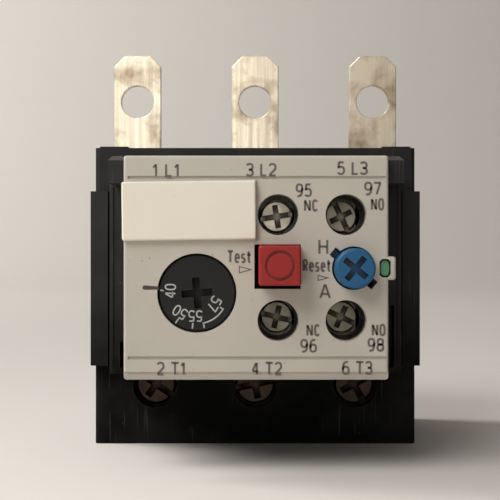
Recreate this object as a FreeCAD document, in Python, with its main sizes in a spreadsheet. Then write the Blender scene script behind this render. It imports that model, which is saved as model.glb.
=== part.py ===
import FreeCAD, Part
import math
import os
import re
import Sketcher

# Thermal overload relay for a three-pole contactor, in millimetres.
# X is across the poles, +Y points to the back, +Z is up, and the relay stands at Z = 0.
# A "depth" is measured from the face of the light front plate towards the back.

Vector = FreeCAD.Vector
Rotation = FreeCAD.Rotation
doc = FreeCAD.newDocument("ThermalOverloadRelay")
sheet = doc.addObject("Spreadsheet::Sheet", "Dims")

DIMENSIONS = [
    # Base housing, the box that holds the three poles
    ("face_y", -40.5, "Y of the front plate's face"),
    ("base_width", 80.0, "width of the base housing"),
    ("base_height", 73.9, "height of the base housing"),
    ("base_front", 43.8, "depth of the base housing's front face"),
    ("base_depth", 41.2, "front face of the base to the rear cover"),
    ("cover_thick", 3.0, "rear cover"),
    ("wall_thick", 3.0, "outer walls of the base"),
    ("corner_round", 1.2, "rounding of the base's upright edges"),
    ("ledge_rise", 0.35, "step up of the base's two top corners"),
    ("ledge_half", 31.75, "half the width between those steps"),
    ("flange_proud", 0.4, "side flange beyond the base's side"),
    ("flange_thick", 4.2, "thickness of the side flange"),
    ("flange_front", 38.3, "depth of the side flange's front edge"),
    ("flange_back", 66.0, "depth where the side flange ends"),
    ("flange_low", 20.0, "underside of the side flange"),
    ("flange_high", 62.8, "top of the side flange"),
    # Poles
    ("pole_share", 0.3125, "spacing of the load terminals, as a share of the base's width"),
    ("divider_thick", 5.0, "wall between two poles"),
    ("chamber_height", 24.0, "height of a terminal chamber"),
    ("floor_thick", 3.0, "floor between a terminal chamber and the pole above it"),
    ("room_clear", 0.6, "space beside a terminal bar in its chamber"),
    ("terminal_z", 14.5, "height of the load terminal screws"),
    ("well_radius", 5.5, "driver well in front of a load terminal screw"),
    ("screw_depth", 47.0, "depth of the load terminal screws' heads"),
    ("screw_radius", 5.0, "head of a load terminal screw"),
    ("screw_head", 4.0, "thickness of that head"),
    ("shank_radius", 3.0, "M6 shank"),
    ("shank_out", 5.0, "shank beyond the terminal bar"),
    ("clamp_thick", 2.0, "clamp plate under a load screw"),
    ("clamp_width", 12.4, "width of the clamp plate"),
    ("clamp_height", 12.0, "height of the clamp plate"),
    ("wire_gap", 6.0, "space for the load conductor"),
    ("bar_thick", 3.0, "load terminal bar"),
    ("bar_width", 12.0, "width of the load terminal bar"),
    ("bar_low", 6.0, "lower end of the load terminal bar"),
    ("bar_high", 36.0, "upper end of the load terminal bar"),
    # Line lugs
    ("lug_side", 1.0, "outer lugs to the base's side walls"),
    ("lug_width", 12.0, "width of a line lug"),
    ("lug_thick", 2.0, "thickness of a line lug"),
    ("lug_gap", 3.2, "base's front wall to the lugs"),
    ("lug_tip", 97.9, "height of the lugs' tips"),
    ("lug_corner", 2.7, "corner cut of a lug's tip"),
    ("lug_hole", 4.1, "radius of a lug's hole"),
    ("lug_hole_z", 86.2, "height of a lug's hole"),
    ("lug_low", 38.0, "underside of a lug's foot"),
    # Heater, bimetal and trip slider
    ("heater_thick", 1.0, "heater strip"),
    ("heater_half", 3.0, "half the space between the heater's legs"),
    ("heater_gap", 3.5, "lugs' front faces to the heater's front edge"),
    ("heater_width", 6.6, "width of the heater strip"),
    ("heater_top", 65.0, "top of the heater's crown"),
    ("fold_round", 0.9, "rounding of the heater's folds"),
    ("bimetal_thick", 1.2, "bimetal strip"),
    ("bimetal_width", 4.4, "width of the bimetal strip"),
    ("bimetal_gap", 3.9, "lugs' front faces to the bimetal's front edge"),
    ("bimetal_low", 30.6, "free end of the bimetal strip"),
    ("slider_half", 29.0, "half the length of the trip slider"),
    ("slider_low", 30.0, "underside of the trip slider"),
    ("slider_high", 33.0, "top of the trip slider"),
    ("slider_gap", 2.9, "lugs' front faces to the trip slider's front edge"),
    ("slider_wide", 5.6, "trip slider from front to back"),
    ("slider_travel", 1.5, "way that the trip slider moves"),
    ("slide_clear", 0.2, "running space round sliding pieces"),
    ("touch_gap", 0.3, "gap between pieces that push each other"),
    ("finger_x", -4.5, "pushing face of the slider's finger"),
    ("finger_width", 2.0, "thickness of the slider's finger"),
    ("finger_depth", 33.0, "depth of the finger's tip"),
    # Front housing
    ("plate_mid", 44.6, "height of the front plate's middle"),
    ("plate_half", 28.2, "half the width of the front plate"),
    ("plate_height", 47.8, "height of the front plate"),
    ("plate_thick", 2.5, "front plate"),
    ("skirt_thick", 1.2, "rim of the front plate"),
    ("skirt_depth", 3.0, "rim of the front plate behind the plate"),
    ("neck_wall", 2.0, "side walls of the front housing"),
    ("deck_thick", 2.5, "back wall of the front housing"),
    ("shoulder_half", 33.6, "half the width across the shoulders"),
    ("shoulder_depth", 20.0, "depth of the shoulders' front faces"),
    ("shoulder_low", 20.0, "underside of the shoulders"),
    ("shoulder_high", 69.0, "top of the shoulders"),
    ("ridge_half", 33.0, "place of the upright ridges on the shoulders"),
    ("ridge_thick", 0.6, "width of those ridges"),
    ("ridge_proud", 0.5, "height of those ridges"),
    ("block_half", 32.0, "outer side of the corner blocks"),
    ("block_depth", 4.0, "depth of the corner blocks' faces"),
    ("block_low", 62.9, "underside of the corner blocks"),
    ("block_brow", 67.8, "top of the corner blocks' faces"),
    ("block_high", 69.3, "top of the corner blocks behind the slope"),
    ("block_slope", 8.0, "depth of the slope"),
    ("bridge_depth", 12.2, "depth of the cross wall that guides the buttons"),
    ("bridge_thick", 2.0, "that cross wall"),
    ("bridge_half", 7.3, "half its height"),
    ("shelf_depth", 23.0, "depth of the shelves behind the auxiliary bars"),
    ("shelf_thick", 4.0, "those shelves"),
    ("shelf_height", 6.0, "height of those shelves"),
    # Front plate details
    ("groove_inset", 4.7, "two long grooves from the plate's edges"),
    ("groove_wide", 0.7, "width of the grooves"),
    ("groove_deep", 0.4, "depth of the grooves"),
    ("lip_rise", 1.4, "lip line above the plate's lower edge"),
    ("lip_bevel", 1.4, "height of the bevel under the lip line"),
    ("lip_slope", 0.9, "depth of that bevel at the plate's lower edge"),
    ("groove_start", 0.9, "plate's left edge to the long grooves"),
    ("groove_stop", 0.4, "grooves' right ends to the plate's edge"),
    ("tag_recess", 1.1, "sunk strip between the marking tag and the plate"),
    ("notch_high", 1.2, "small notches beside that strip"),
    ("edge_round", 0.6, "rounding of the plate's corners"),
    ("rim_round", 0.54, "rounding of the plate's front rim"),
    ("tab_reach", 1.6, "tab beside the indicator beyond the plate's edge"),
    ("tab_half", 2.5, "half the height of that tab"),
    ("tag_width", 28.5, "marking tag"),
    ("tag_height", 12.5, "marking tag"),
    ("tag_tilt", -0.7, "degrees that the marking tag is turned clockwise"),
    ("tag_thick", 1.3, "marking tag"),
    ("tag_low", 50.5, "underside of the marking tag"),
    ("tag_round", 0.45, "edge of the marking tag"),
    # Setting dial and adjusting slide
    ("dial_x", -12.6, "setting dial"),
    ("dial_z", 39.2, "setting dial"),
    ("dial_radius", 8.2, "setting dial"),
    ("dial_clear", 0.25, "gap round the setting dial"),
    ("dial_depth", 0.5, "depth of the dial's face"),
    ("dial_thick", 4.0, "setting dial"),
    ("dial_slot", 6.6, "length of the dial's cross slot"),
    ("dial_slot_wide", 1.6, "width of the dial's cross slot"),
    ("dial_slot_deep", 2.0, "depth of the dial's cross slot"),
    ("dial_slot_turn", -5.0, "degrees that the cross slot is turned clockwise at rest"),
    ("spindle_radius", 3.0, "dial spindle"),
    ("journal_radius", 1.5, "rear journal of the dial spindle"),
    ("bore_clear", 0.08, "running space in a bearing"),
    ("cam_radius", 3.5, "smallest radius of the cam"),
    ("cam_lift", 2.5, "rise of the cam over the dial's travel"),
    ("dial_travel", 104.0, "degrees that the dial turns"),
    ("cam_depth", 37.1, "depth of the cam's front face"),
    ("cam_thick", 3.0, "cam and adjusting slide"),
    ("foot_half", 1.9, "half the height of the adjusting slide's foot"),
    ("arm_x", -2.2, "left face of the adjusting slide's arm"),
    ("arm_width", 2.0, "width of the adjusting slide's arm"),
    ("arm_high", 58.0, "top of the adjusting slide's arm"),
    ("seat_low", 51.0, "where the compensation strip's seat begins"),
    ("strip_thick", 0.6, "compensation strip"),
    ("strip_depth", 32.0, "depth of the compensation strip's front edge"),
    ("strip_width", 4.5, "width of the compensation strip"),
    ("strip_low", 30.4, "free end of the compensation strip"),
    # Trip lever
    ("lever_x", 2.0, "trip lever's pin"),
    ("lever_z", 28.5, "trip lever's pin"),
    ("lever_depth", 33.0, "depth of the trip lever's front face"),
    ("lever_thick", 3.0, "trip lever"),
    ("lever_pin", 1.0, "radius of the small pins"),
    ("lever_hub", 2.2, "hub of the small levers"),
    ("pin_head", 1.6, "head of the trip lever's pin"),
    # Test button and contact carrier
    ("test_x", 4.93, "test button"),
    ("test_z", 45.15, "test button"),
    ("test_width", 8.8, "test button"),
    ("test_height", 8.4, "test button"),
    ("test_clear", 0.55, "mean gap round the test button"),
    ("test_shift", 0.33, "its hole is this much further left and lower"),
    ("test_proud", 7.0, "test button's face above the plate"),
    ("test_length", 10.0, "test button's cap from front to back"),
    ("test_travel", 2.5, "way that the test button moves"),
    ("test_edge", 0.5, "edge of the test button"),
    ("ring_inner", 2.5, "round boss on the test button"),
    ("ring_outer", 3.2, "groove round that boss"),
    ("ring_deep", 0.5, "depth of that groove"),
    ("stem_radius", 1.6, "button stems"),
    ("spring_wire", 0.3, "radius of the spring wire"),
    ("spring_radius", 2.4, "mean radius of the button springs"),
    ("spring_turns", 4.0, "turns of the button springs"),
    ("spring_rest", 0.05, "space at the springs' ends"),
    ("contact_radius", 1.0, "contact rivet"),
    ("contact_high", 0.6, "contact rivet"),
    ("contact_rise", 6.1, "contact rivets above and below the middle"),
    ("contact_gap", 0.1, "space left between contacts that meet"),
    ("bridge_wide", 2.4, "width of a contact bridge"),
    ("bridge_strip", 0.8, "thickness of a contact bridge"),
    ("no_x", 17.0, "place of the closing bridge"),
    ("carrier_thick", 4.0, "contact carrier"),
    ("carrier_left", 2.5, "left side of the contact carrier"),
    ("carrier_right", 18.5, "right side of the contact carrier"),
    ("carrier_half", 6.8, "half the height of the contact carrier"),
    ("guide_x", 11.0, "guide rods of the contact carrier"),
    ("guide_rise", 5.0, "guide rods above and below the middle"),
    ("guide_wall", 1.0, "wall of the guide tubes"),
    ("guide_depth", 36.0, "depth of the guide tubes' front ends"),
    # Trip rocker and indicator
    ("rocker_x", 16.5, "trip rocker's pin"),
    ("rocker_depth", 38.5, "depth of the trip rocker's pin"),
    ("rocker_half", 4.2, "half the height of the trip rocker"),
    ("rocker_thick", 1.8, "arms of the trip rocker"),
    ("push_depth", 35.0, "depth where the carrier pushes the rocker"),
    ("push_x", 6.6, "place where the carrier pushes the rocker"),
    ("ear_thick", 2.0, "ears that hold the rocker's pin"),
    ("indicator_x", 27.5, "trip indicator"),
    ("indicator_z", 44.5, "trip indicator"),
    ("indicator_wide", 1.85, "trip indicator"),
    ("indicator_tall", 3.35, "trip indicator"),
    ("indicator_slot", 0.3, "gap round the trip indicator"),
    ("window_corner", 0.6, "cut corners of the indicator's window"),
    ("indicator_depth", 0.7, "depth of the indicator's face"),
    ("indicator_end", 37.4, "depth of the indicator's rear end"),
    ("indicator_round", 0.83, "rounding of the indicator's sides"),
    # Reset button
    ("reset_x", 20.8, "reset button"),
    ("reset_z", 44.5, "reset button"),
    ("reset_radius", 4.27, "reset button"),
    ("reset_clear", 0.37, "gap round the reset button"),
    ("reset_proud", 4.6, "reset button's face above the plate"),
    ("reset_back", 4.6, "depth of the reset cap's rear face"),
    ("reset_edge", 0.6, "edge of the reset cap"),
    ("reset_slot", 6.0, "length of the reset button's cross slot"),
    ("reset_slot_wide", 1.3, "width of that slot"),
    ("reset_slot_deep", 2.0, "depth of that slot"),
    ("reset_tab", 5.5, "reach of the pointer tab from the reset axis"),
    ("reset_tab_wide", 1.5, "pointer tab"),
    ("reset_tab_angle", 141.0, "direction of the pointer tab"),
    ("reset_notch_angle", -40.0, "direction of the second notch"),
    ("reset_travel", 2.0, "way that the reset button moves"),
    ("plunger_reach", 35.6, "depth that the reset plunger's end reaches when pressed"),
    # Auxiliary terminals
    ("aux_left", 4.7, "opening contact's terminals"),
    ("aux_right", 19.2, "closing contact's terminals"),
    ("aux_rise", 11.3, "auxiliary screws above and below the middle"),
    ("aux_well", 4.4, "driver well at the plate's face"),
    ("aux_well_end", 3.9, "driver well at the collar's end"),
    ("collar_wall", 1.1, "wall of the collar"),
    ("collar_end", 12.0, "depth of the collar's end"),
    ("aux_depth", 14.8, "depth of the auxiliary screws' heads"),
    ("aux_radius", 3.6, "head of an auxiliary screw"),
    ("aux_head", 2.5, "thickness of that head"),
    ("aux_shank", 1.75, "M3.5 shank"),
    ("aux_out", 4.0, "shank beyond the auxiliary bar"),
    ("washer_side", 7.0, "square clamp washer"),
    ("washer_thick", 1.2, "square clamp washer"),
    ("aux_gap", 3.0, "space for the auxiliary wire"),
    ("aux_bar", 1.5, "auxiliary terminal bar"),
    ("aux_bar_wide", 7.0, "width of the auxiliary terminal bar"),
    ("aux_entry", 6.0, "width of the auxiliary wire entry"),
    ("aux_entry_deep", 4.1, "auxiliary wire entry from front to back"),
    # Screw heads, as shares of the head's radius or thickness
    ("head_round", 0.16, "rounding of the rim, share of the thickness"),
    ("slot_share", 0.42, "depth of the slot, share of the thickness"),
    ("cross_share", 0.6, "depth of the cross, share of the thickness"),
    ("slot_width", 0.34, "width of the slot, share of the radius"),
    ("cross_length", 1.45, "length of the cross, share of the radius"),
    # Pockets in the shoulders where the plate's clips are released
    ("clip_rise", 0.6, "pockets above the plate's lower edge"),
    ("clip_deep", 3.6, "depth of the pockets"),
    ("left_clip_gap", 1.8, "plate's edge to the left pocket"),
    ("left_clip_wide", 1.2, "width of the left pocket"),
    ("left_clip_high", 6.0, "height of the left pocket"),
    ("right_clip_gap", 2.6, "plate's edge to the right pocket"),
    ("right_clip_wide", 1.0, "width of the right pocket"),
    ("right_clip_high", 14.4, "height of the right pocket"),
    # Rear cover screws
    ("cover_screw", 1.5, "M3 shank"),
    ("cover_head", 2.8, "head of a cover screw"),
    ("cover_head_thick", 1.6, "head of a cover screw"),
    ("cover_screw_long", 12.0, "cover screw under its head"),
    ("cover_screw_low", 13.0, "height of the lower cover screws"),
    ("cover_screw_high", 60.0, "height of the upper cover screws"),
]


def fill_sheet():
    """Write each driving dimension, its value and its meaning into the sheet."""
    for row, (alias, number, meaning) in enumerate(DIMENSIONS, start=1):
        sheet.set("A%d" % row, meaning)
        sheet.set("B%d" % row, str(number))
        sheet.setAlias("B%d" % row, alias)
    doc.recompute()


def formula(text):
    """Point each dimension's name in a formula at its cell in the sheet."""
    return re.sub(r"\b[a-z]+(?:_[a-z]+)+\b", lambda name: "Dims." + name.group(0), str(text))


def value(text):
    """Work a formula out now."""
    return float(sheet.evalExpression(formula(text)))


def rect(left, right, low, high):
    return [(left, low), (right, low), (right, high), (left, high)]


def centred(x, z, width, height):
    return rect("%s - (%s) / 2" % (x, width), "%s + (%s) / 2" % (x, width),
                "%s - (%s) / 2" % (z, height), "%s + (%s) / 2" % (z, height))


def circle(x, z, radius):
    return (x, z, radius)


class Piece:
    """A PartDesign body built of pads and pockets that all run along +X, +Y or +Z."""

    planes = {"X": "YZ_Plane", "Y": "XZ_Plane", "Z": "XY_Plane"}

    def __init__(self, label):
        self.body = doc.addObject("PartDesign::Body", "Body_" + label)
        self.body.Label = label
        pieces[label] = self.body

    def sketch(self, axis, start, loops):
        role = self.planes[axis]
        plane = next(o for o in self.body.Origin.OriginFeatures if o.Role == role)
        sketch = self.body.newObject("Sketcher::SketchObject", "Sketch")
        sketch.AttachmentSupport = [(plane, "")]
        sketch.MapMode = "FlatFace"
        sign = "-" if axis == "Y" else ""
        sketch.setExpression(".AttachmentOffset.Base.z", formula("%s(%s)" % (sign, start)))
        for loop in loops:
            if isinstance(loop, tuple):
                draw_circle(sketch, *loop)
            else:
                draw_polygon(sketch, loop)
        return sketch

    def add(self, axis, start, length, *loops):
        """Pad the loops from start along the positive axis."""
        pad = self.body.newObject("PartDesign::Pad", "Pad")
        pad.Profile = self.sketch(axis, start, loops)
        pad.Reversed = axis == "Y"
        pad.setExpression("Length", formula(length))
        self.body.Tip = pad
        return pad

    def cut(self, axis, start, length, *loops):
        """Pocket the loops from start along the positive axis."""
        pocket = self.body.newObject("PartDesign::Pocket", "Pocket")
        pocket.Profile = self.sketch(axis, start, loops)
        pocket.Reversed = axis != "Y"
        pocket.setExpression("Length", formula(length))
        self.body.Tip = pocket
        return pocket

    def cone(self, kind, x, start, z, radius, end_radius, length):
        """Add or take away a cone whose axis runs along +Y."""
        cone = self.body.newObject("PartDesign::" + kind + "Cone", kind + "Cone")
        cone.Placement = FreeCAD.Placement(Vector(), Rotation(Vector(1, 0, 0), -90))
        cone.setExpression("Radius1", formula(radius))
        cone.setExpression("Radius2", formula(end_radius))
        cone.setExpression("Height", formula(length))
        bind_place(cone, x, start, z)
        self.body.Tip = cone

    def soften(self, kind, size, wanted):
        """Fillet or chamfer the edges for which wanted(edge) is true."""
        self.body.recompute(True)
        base = self.body.Tip
        names = ["Edge%d" % i for i, edge in enumerate(base.Shape.Edges, start=1) if wanted(edge)]
        feature = self.body.newObject("PartDesign::" + kind, kind)
        feature.Base = (base, names)
        feature.setExpression("Radius" if kind == "Fillet" else "Size", formula(size))
        self.body.Tip = feature

    def place(self, x, y, z):
        bind_place(self.body, x, y, z)

    def turn_about_y(self, angle):
        """Turn the finished body clockwise as seen from the front."""
        self.body.Placement = FreeCAD.Placement(self.body.Placement.Base, Rotation(Vector(0, 1, 0), angle))


def bind_place(thing, x, y, z):
    for axis, text in zip("xyz", (x, y, z)):
        thing.setExpression(".Placement.Base." + axis, formula(text))


def draw_polygon(sketch, corners):
    first = sketch.GeometryCount
    points = [Vector(value(x), value(y), 0) for x, y in corners]
    count = len(points)
    for i in range(count):
        sketch.addGeometry(Part.LineSegment(points[i], points[(i + 1) % count]))
    for i in range(count):
        sketch.addConstraint(Sketcher.Constraint("Coincident", first + i, 2, first + (i + 1) % count, 1))
    for i, (x, y) in enumerate(corners):
        bind_point(sketch, first + i, 1, x, y)


def draw_circle(sketch, x, y, radius):
    index = sketch.GeometryCount
    centre = Vector(value(x), value(y), 0)
    sketch.addGeometry(Part.Circle(centre, Vector(0, 0, 1), value(radius)))
    bind_point(sketch, index, 3, x, y)
    number = sketch.addConstraint(Sketcher.Constraint("Radius", index, value(radius)))
    sketch.setExpression("Constraints[%d]" % number, formula(radius))


def bind_point(sketch, index, end, x, y):
    for kind, text in (("DistanceX", x), ("DistanceY", y)):
        number = sketch.addConstraint(Sketcher.Constraint(kind, -1, 1, index, end, value(text)))
        sketch.setExpression("Constraints[%d]" % number, formula(text))


def along(axis):
    """Edges that run straight along one axis."""
    index = "XYZ".index(axis)

    def test(edge):
        if len(edge.Vertexes) != 2:
            return False
        span = edge.Vertexes[1].Point - edge.Vertexes[0].Point
        straight = abs(edge.Length - span.Length) < 1e-6
        return straight and abs(abs(span[index]) - span.Length) < 1e-6
    return test


def lies_at(edge, axis, text):
    """Whether an edge lies in the plane where the axis has the given value."""
    index = "XYZ".index(axis)
    place = value(text)
    return all(abs(vertex.Point[index] - place) < 1e-4 for vertex in edge.Vertexes)


def at(text):
    """The Y of a depth behind the front plate's face."""
    return "face_y + (%s)" % text


pieces = {}
fill_sheet()

UPPER, LOWER = "plate_mid + aux_rise", "plate_mid - aux_rise"
POLES = (("left", -1), ("middle", 0), ("right", 1))
LOAD_SLOT_ANGLES = (35.0, -12.0, 62.0)
CAM_STEPS = 12
CAM_BASE_STEPS = 17
CAM_LAND_STEPS = 2
SPRING_STEPS = 16
# Number, place across, height, up or down, and the angle of the screw's slot in degrees
AUXILIARIES = (("95", "aux_left", UPPER, 1, -9.0), ("96", "aux_left", LOWER, -1, 14.0),
               ("97", "aux_right", UPPER, 1, 64.0), ("98", "aux_right", LOWER, -1, 25.0))
NECK_HALF = "(plate_half - skirt_thick)"
NECK_LOW = "(plate_mid - plate_height / 2 + skirt_thick)"
NECK_HIGH = "(plate_mid + plate_height / 2 - skirt_thick)"
CAVITY_HALF = "(plate_half - skirt_thick - neck_wall)"
CAVITY_LOW = "(plate_mid - plate_height / 2 + skirt_thick + neck_wall)"
CAVITY_HIGH = "(plate_mid + plate_height / 2 - skirt_thick - neck_wall)"
GROOVE_HIGH = "(plate_mid + plate_height / 2 - groove_inset)"
POLE_PITCH = "(pole_share * base_width)"
DIVIDER_HALF = "(pole_share * base_width / 2)"
LUG_PITCH = "(base_width / 2 - wall_thick - lug_side - lug_width / 2)"
LUG_DEPTH = "(base_front + wall_thick + lug_gap)"
HEATER_DEPTH = "(base_front + wall_thick + lug_gap + heater_gap)"
BIMETAL_DEPTH = "(base_front + wall_thick + lug_gap + bimetal_gap)"
SLIDER_DEPTH = "(base_front + wall_thick + lug_gap + slider_gap)"
DECK_DEPTH = "(base_front - deck_thick)"
LOAD_BAR_DEPTH = "(screw_depth + screw_head + clamp_thick + wire_gap)"
AUX_BAR_DEPTH = "(aux_depth + aux_head + washer_thick + aux_gap)"
NC_STRIP_DEPTH = "(aux_depth + aux_head + washer_thick + aux_gap + aux_bar + 2 * contact_high + contact_gap)"
CARRIER_DEPTH = NC_STRIP_DEPTH[:-1] + " + bridge_strip)"
NO_STRIP_DEPTH = AUX_BAR_DEPTH[:-1] + " - 2 * contact_high - contact_gap - test_travel - bridge_strip)"


def pole_x(side):
    return "(%d * %s)" % (side, POLE_PITCH)


def lug_x(side):
    return "(%d * %s)" % (side, LUG_PITCH)


def mirror_sign(side):
    """The right pole is built as the mirror image of the other two."""
    return 1 if side == 1 else -1


# ---------------------------------------------------------------- base housing

def compartment(side, low, high):
    """The space of one pole between its two walls, from low to high."""
    inner = "(" + DIVIDER_HALF + " + divider_thick / 2)"
    outer = "(base_width / 2 - wall_thick)"
    if side == 0:
        middle = "(" + DIVIDER_HALF + " - divider_thick / 2)"
        return rect("-" + middle, middle, low, high)
    if side < 0:
        return rect("-" + outer, "-" + inner, low, high)
    return rect(inner, outer, low, high)


def make_base_housing():
    base = Piece("base_housing")
    half = "base_width / 2"
    base.add("Y", at("base_front"), "base_depth", rect("-base_width / 2", half, "0", "base_height"))
    base.soften("Fillet", "corner_round", along("Z"))
    for side in ("-", ""):
        inner, outer = side + "ledge_half", side + "(base_width / 2 - corner_round)"
        base.add("Y", at("base_front"), "base_depth",
                 rect(inner, outer, "base_height - floor_thick", "base_height + ledge_rise"))
        root = side + "(base_width / 2 + flange_proud - flange_thick)"
        edge = side + "(base_width / 2 + flange_proud)"
        base.add("Y", at("flange_front"), "flange_back - flange_front",
                 rect(root, edge, "flange_low", "flange_high"))
    rear = "base_front + base_depth"
    pole_low = "chamber_height + floor_thick"
    pole_high = "base_height - wall_thick"
    base.cut("Y", at("base_front + wall_thick"), "base_depth - wall_thick",
             *[compartment(side, pole_low, pole_high) for _, side in POLES])
    behind = LOAD_BAR_DEPTH + " + bar_thick + shank_out + wall_thick"
    base.cut("Y", at(behind), rear + " - (" + behind + ")",
             *[compartment(side, "wall_thick", "chamber_height") for _, side in POLES])
    cut_terminal_chambers(base)
    lug_room = "(lug_width / 2 + bore_clear)"
    base.cut("Z", "base_height - wall_thick", "wall_thick + ledge_rise",
             *[rect(lug_x(side) + " - " + lug_room, lug_x(side) + " + " + lug_room,
                    at(LUG_DEPTH), at(LUG_DEPTH + " + lug_thick")) for _, side in POLES])
    windows = DIVIDER_HALF + " + divider_thick / 2 + slide_clear"
    base.cut("Y", at(SLIDER_DEPTH + " - slide_clear"), "slider_wide + 2 * slide_clear",
             rect("-(" + windows + ")", windows, "slider_low - slide_clear", "slider_high + slide_clear"))
    base.cut("Y", at("base_front"), "wall_thick", finger_window())
    base.cut("Y", at("base_front + base_depth - cover_screw_long"), "cover_screw_long",
             *[circle(x, z, "cover_screw + bore_clear") for x, z in COVER_SCREWS])


def cut_terminal_chambers(base):
    """Chambers open below for the conductors, driver wells in front and holes for the bars."""
    bar_back = LOAD_BAR_DEPTH + " + bar_thick"
    room = "(bar_width / 2 + room_clear)"
    base.cut("Z", "0", "chamber_height",
             *[rect(pole_x(side) + " - " + room, pole_x(side) + " + " + room,
                    at("base_front + wall_thick"), at(bar_back)) for _, side in POLES])
    base.cut("Z", "chamber_height", "floor_thick",
             *[rect(pole_x(side) + " - bar_width / 2", pole_x(side) + " + bar_width / 2",
                    at(LOAD_BAR_DEPTH), at(bar_back)) for _, side in POLES])
    base.cut("Y", at("base_front"), "wall_thick",
             *[circle(pole_x(side), "terminal_z", "well_radius") for _, side in POLES])
    base.cut("Y", at(bar_back), "shank_out + touch_gap",
             *[circle(pole_x(side), "terminal_z", "shank_radius + bore_clear") for _, side in POLES])


def finger_window():
    """The opening that the trip slider's finger passes through."""
    spare = "(slider_travel + slide_clear)"
    return rect("finger_x - finger_width - " + spare, "finger_x + " + spare,
                "slider_low - slide_clear", "slider_high + slide_clear")


COVER_SCREWS = [(side + DIVIDER_HALF, z) for side in ("-", "")
                for z in ("cover_screw_low", "cover_screw_high")]


def make_rear_cover():
    cover = Piece("rear_cover")
    start = at("base_front + base_depth")
    cover.add("Y", start, "cover_thick", rect("-base_width / 2", "base_width / 2", "0", "base_height"))
    cover.soften("Fillet", "corner_round", along("Z"))
    cover.soften("Chamfer", "cover_thick / 5",
                 lambda edge: lies_at(edge, "Y", at("base_front + base_depth + cover_thick")))
    cover.cut("Y", start, "cover_thick", *[circle(x, z, "cover_screw + bore_clear") for x, z in COVER_SCREWS])
    cover.cut("Y", at("base_front + base_depth + cover_thick - cover_head_thick"), "cover_head_thick",
              *[circle(x, z, "cover_head + slide_clear") for x, z in COVER_SCREWS])


def make_cover_screws():
    """Four equal screws, kept together as one group."""
    screws = []
    head_y = "base_front + base_depth + cover_thick - cover_head_thick"
    for x, z in COVER_SCREWS:
        screw = Piece("cover_screw_%d" % len(screws))
        pieces.pop(screw.body.Label)
        screw.add("Y", "0", "cover_head_thick", circle("0", "0", "cover_head"))
        screw.add("Y", "-cover_screw_long + cover_thick", "cover_screw_long - cover_thick",
                  circle("0", "0", "cover_screw"))
        screw.cut("Y", "cover_head_thick / 2", "cover_head_thick / 2",
                  centred("0", "0", "cross_length * cover_head", "cover_screw / 2"))
        screw.place(x, at(head_y), z)
        screws.append(screw.body)
    group = doc.addObject("Part::Compound", "CoverScrews")
    group.Links = screws
    group.Label = "rear_cover_screws"
    pieces[group.Label] = group


# ---------------------------------------------------------------- poles

def make_line_lug(name, side):
    """A flat line lug with cut corners, a hole for the contactor's screw and a bent foot."""
    lug = Piece("line_lug_" + name)
    half, inner = "lug_width / 2", "lug_width / 2 - lug_corner"
    lug.add("Y", at(LUG_DEPTH), "lug_thick",
            [("-" + half, "lug_low"), (half, "lug_low"), (half, "lug_tip - lug_corner"),
             (inner, "lug_tip"), ("-(" + inner + ")", "lug_tip"), ("-" + half, "lug_tip - lug_corner")])
    sign = mirror_sign(side)
    outer_edge = "%d * lug_width / 2" % sign
    inner_edge = "%s + %d * (heater_half - heater_thick / 2) - (%s)" % (pole_x(side), sign, lug_x(side))
    edges = (outer_edge, inner_edge) if sign < 0 else (inner_edge, outer_edge)
    lug.add("Z", "lug_low", "lug_thick",
            rect(edges[0], edges[1], at(LUG_DEPTH), at(HEATER_DEPTH + " + heater_width")))
    lug.cut("Y", at(LUG_DEPTH), "lug_thick", circle("0", "lug_hole_z", "lug_hole"))
    lug.place(lug_x(side), "0", "0")


def make_heater(name, side):
    """A flat resistance strip folded over the bimetal, one leg on the lug, one on the bar."""
    heater = Piece("heater_strip_" + name)
    sign = mirror_sign(side)
    lug_leg = (sign, "lug_low + lug_thick")
    bar_leg = (-sign, "bar_high")
    left, right = sorted((lug_leg, bar_leg))
    out, inside = "(heater_half + heater_thick)", "heater_half"
    heater.add("Y", at(HEATER_DEPTH), "heater_width",
               [("-" + out, left[1]), ("-" + inside, left[1]), ("-" + inside, "heater_top - heater_thick"),
                (inside, "heater_top - heater_thick"), (inside, right[1]), (out, right[1]),
                (out, "heater_top"), ("-" + out, "heater_top")])
    heater.soften("Fillet", "fold_round",
                  lambda edge: along("Y")(edge) and lies_at(edge, "Z", "heater_top"))
    heater.place(pole_x(side), "0", "0")


def make_bimetal(name, side):
    strip = Piece("bimetal_strip_" + name)
    strip.add("Y", at(BIMETAL_DEPTH), "bimetal_width",
              rect("-bimetal_thick / 2", "bimetal_thick / 2", "bimetal_low", "heater_top - heater_thick"))
    strip.place(pole_x(side), "0", "0")


def make_load_terminal(name, side):
    bar = Piece("load_terminal_" + name)
    bar.add("Y", at(LOAD_BAR_DEPTH), "bar_thick",
            rect("-bar_width / 2", "bar_width / 2", "bar_low", "bar_high"))
    bar.cut("Y", at(LOAD_BAR_DEPTH), "bar_thick", circle("0", "terminal_z", "shank_radius + bore_clear"))
    bar.soften("Chamfer", "bar_thick / 4", lambda edge: along("X")(edge) and lies_at(edge, "Z", "bar_low"))
    bar.place(pole_x(side), "0", "0")


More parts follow.
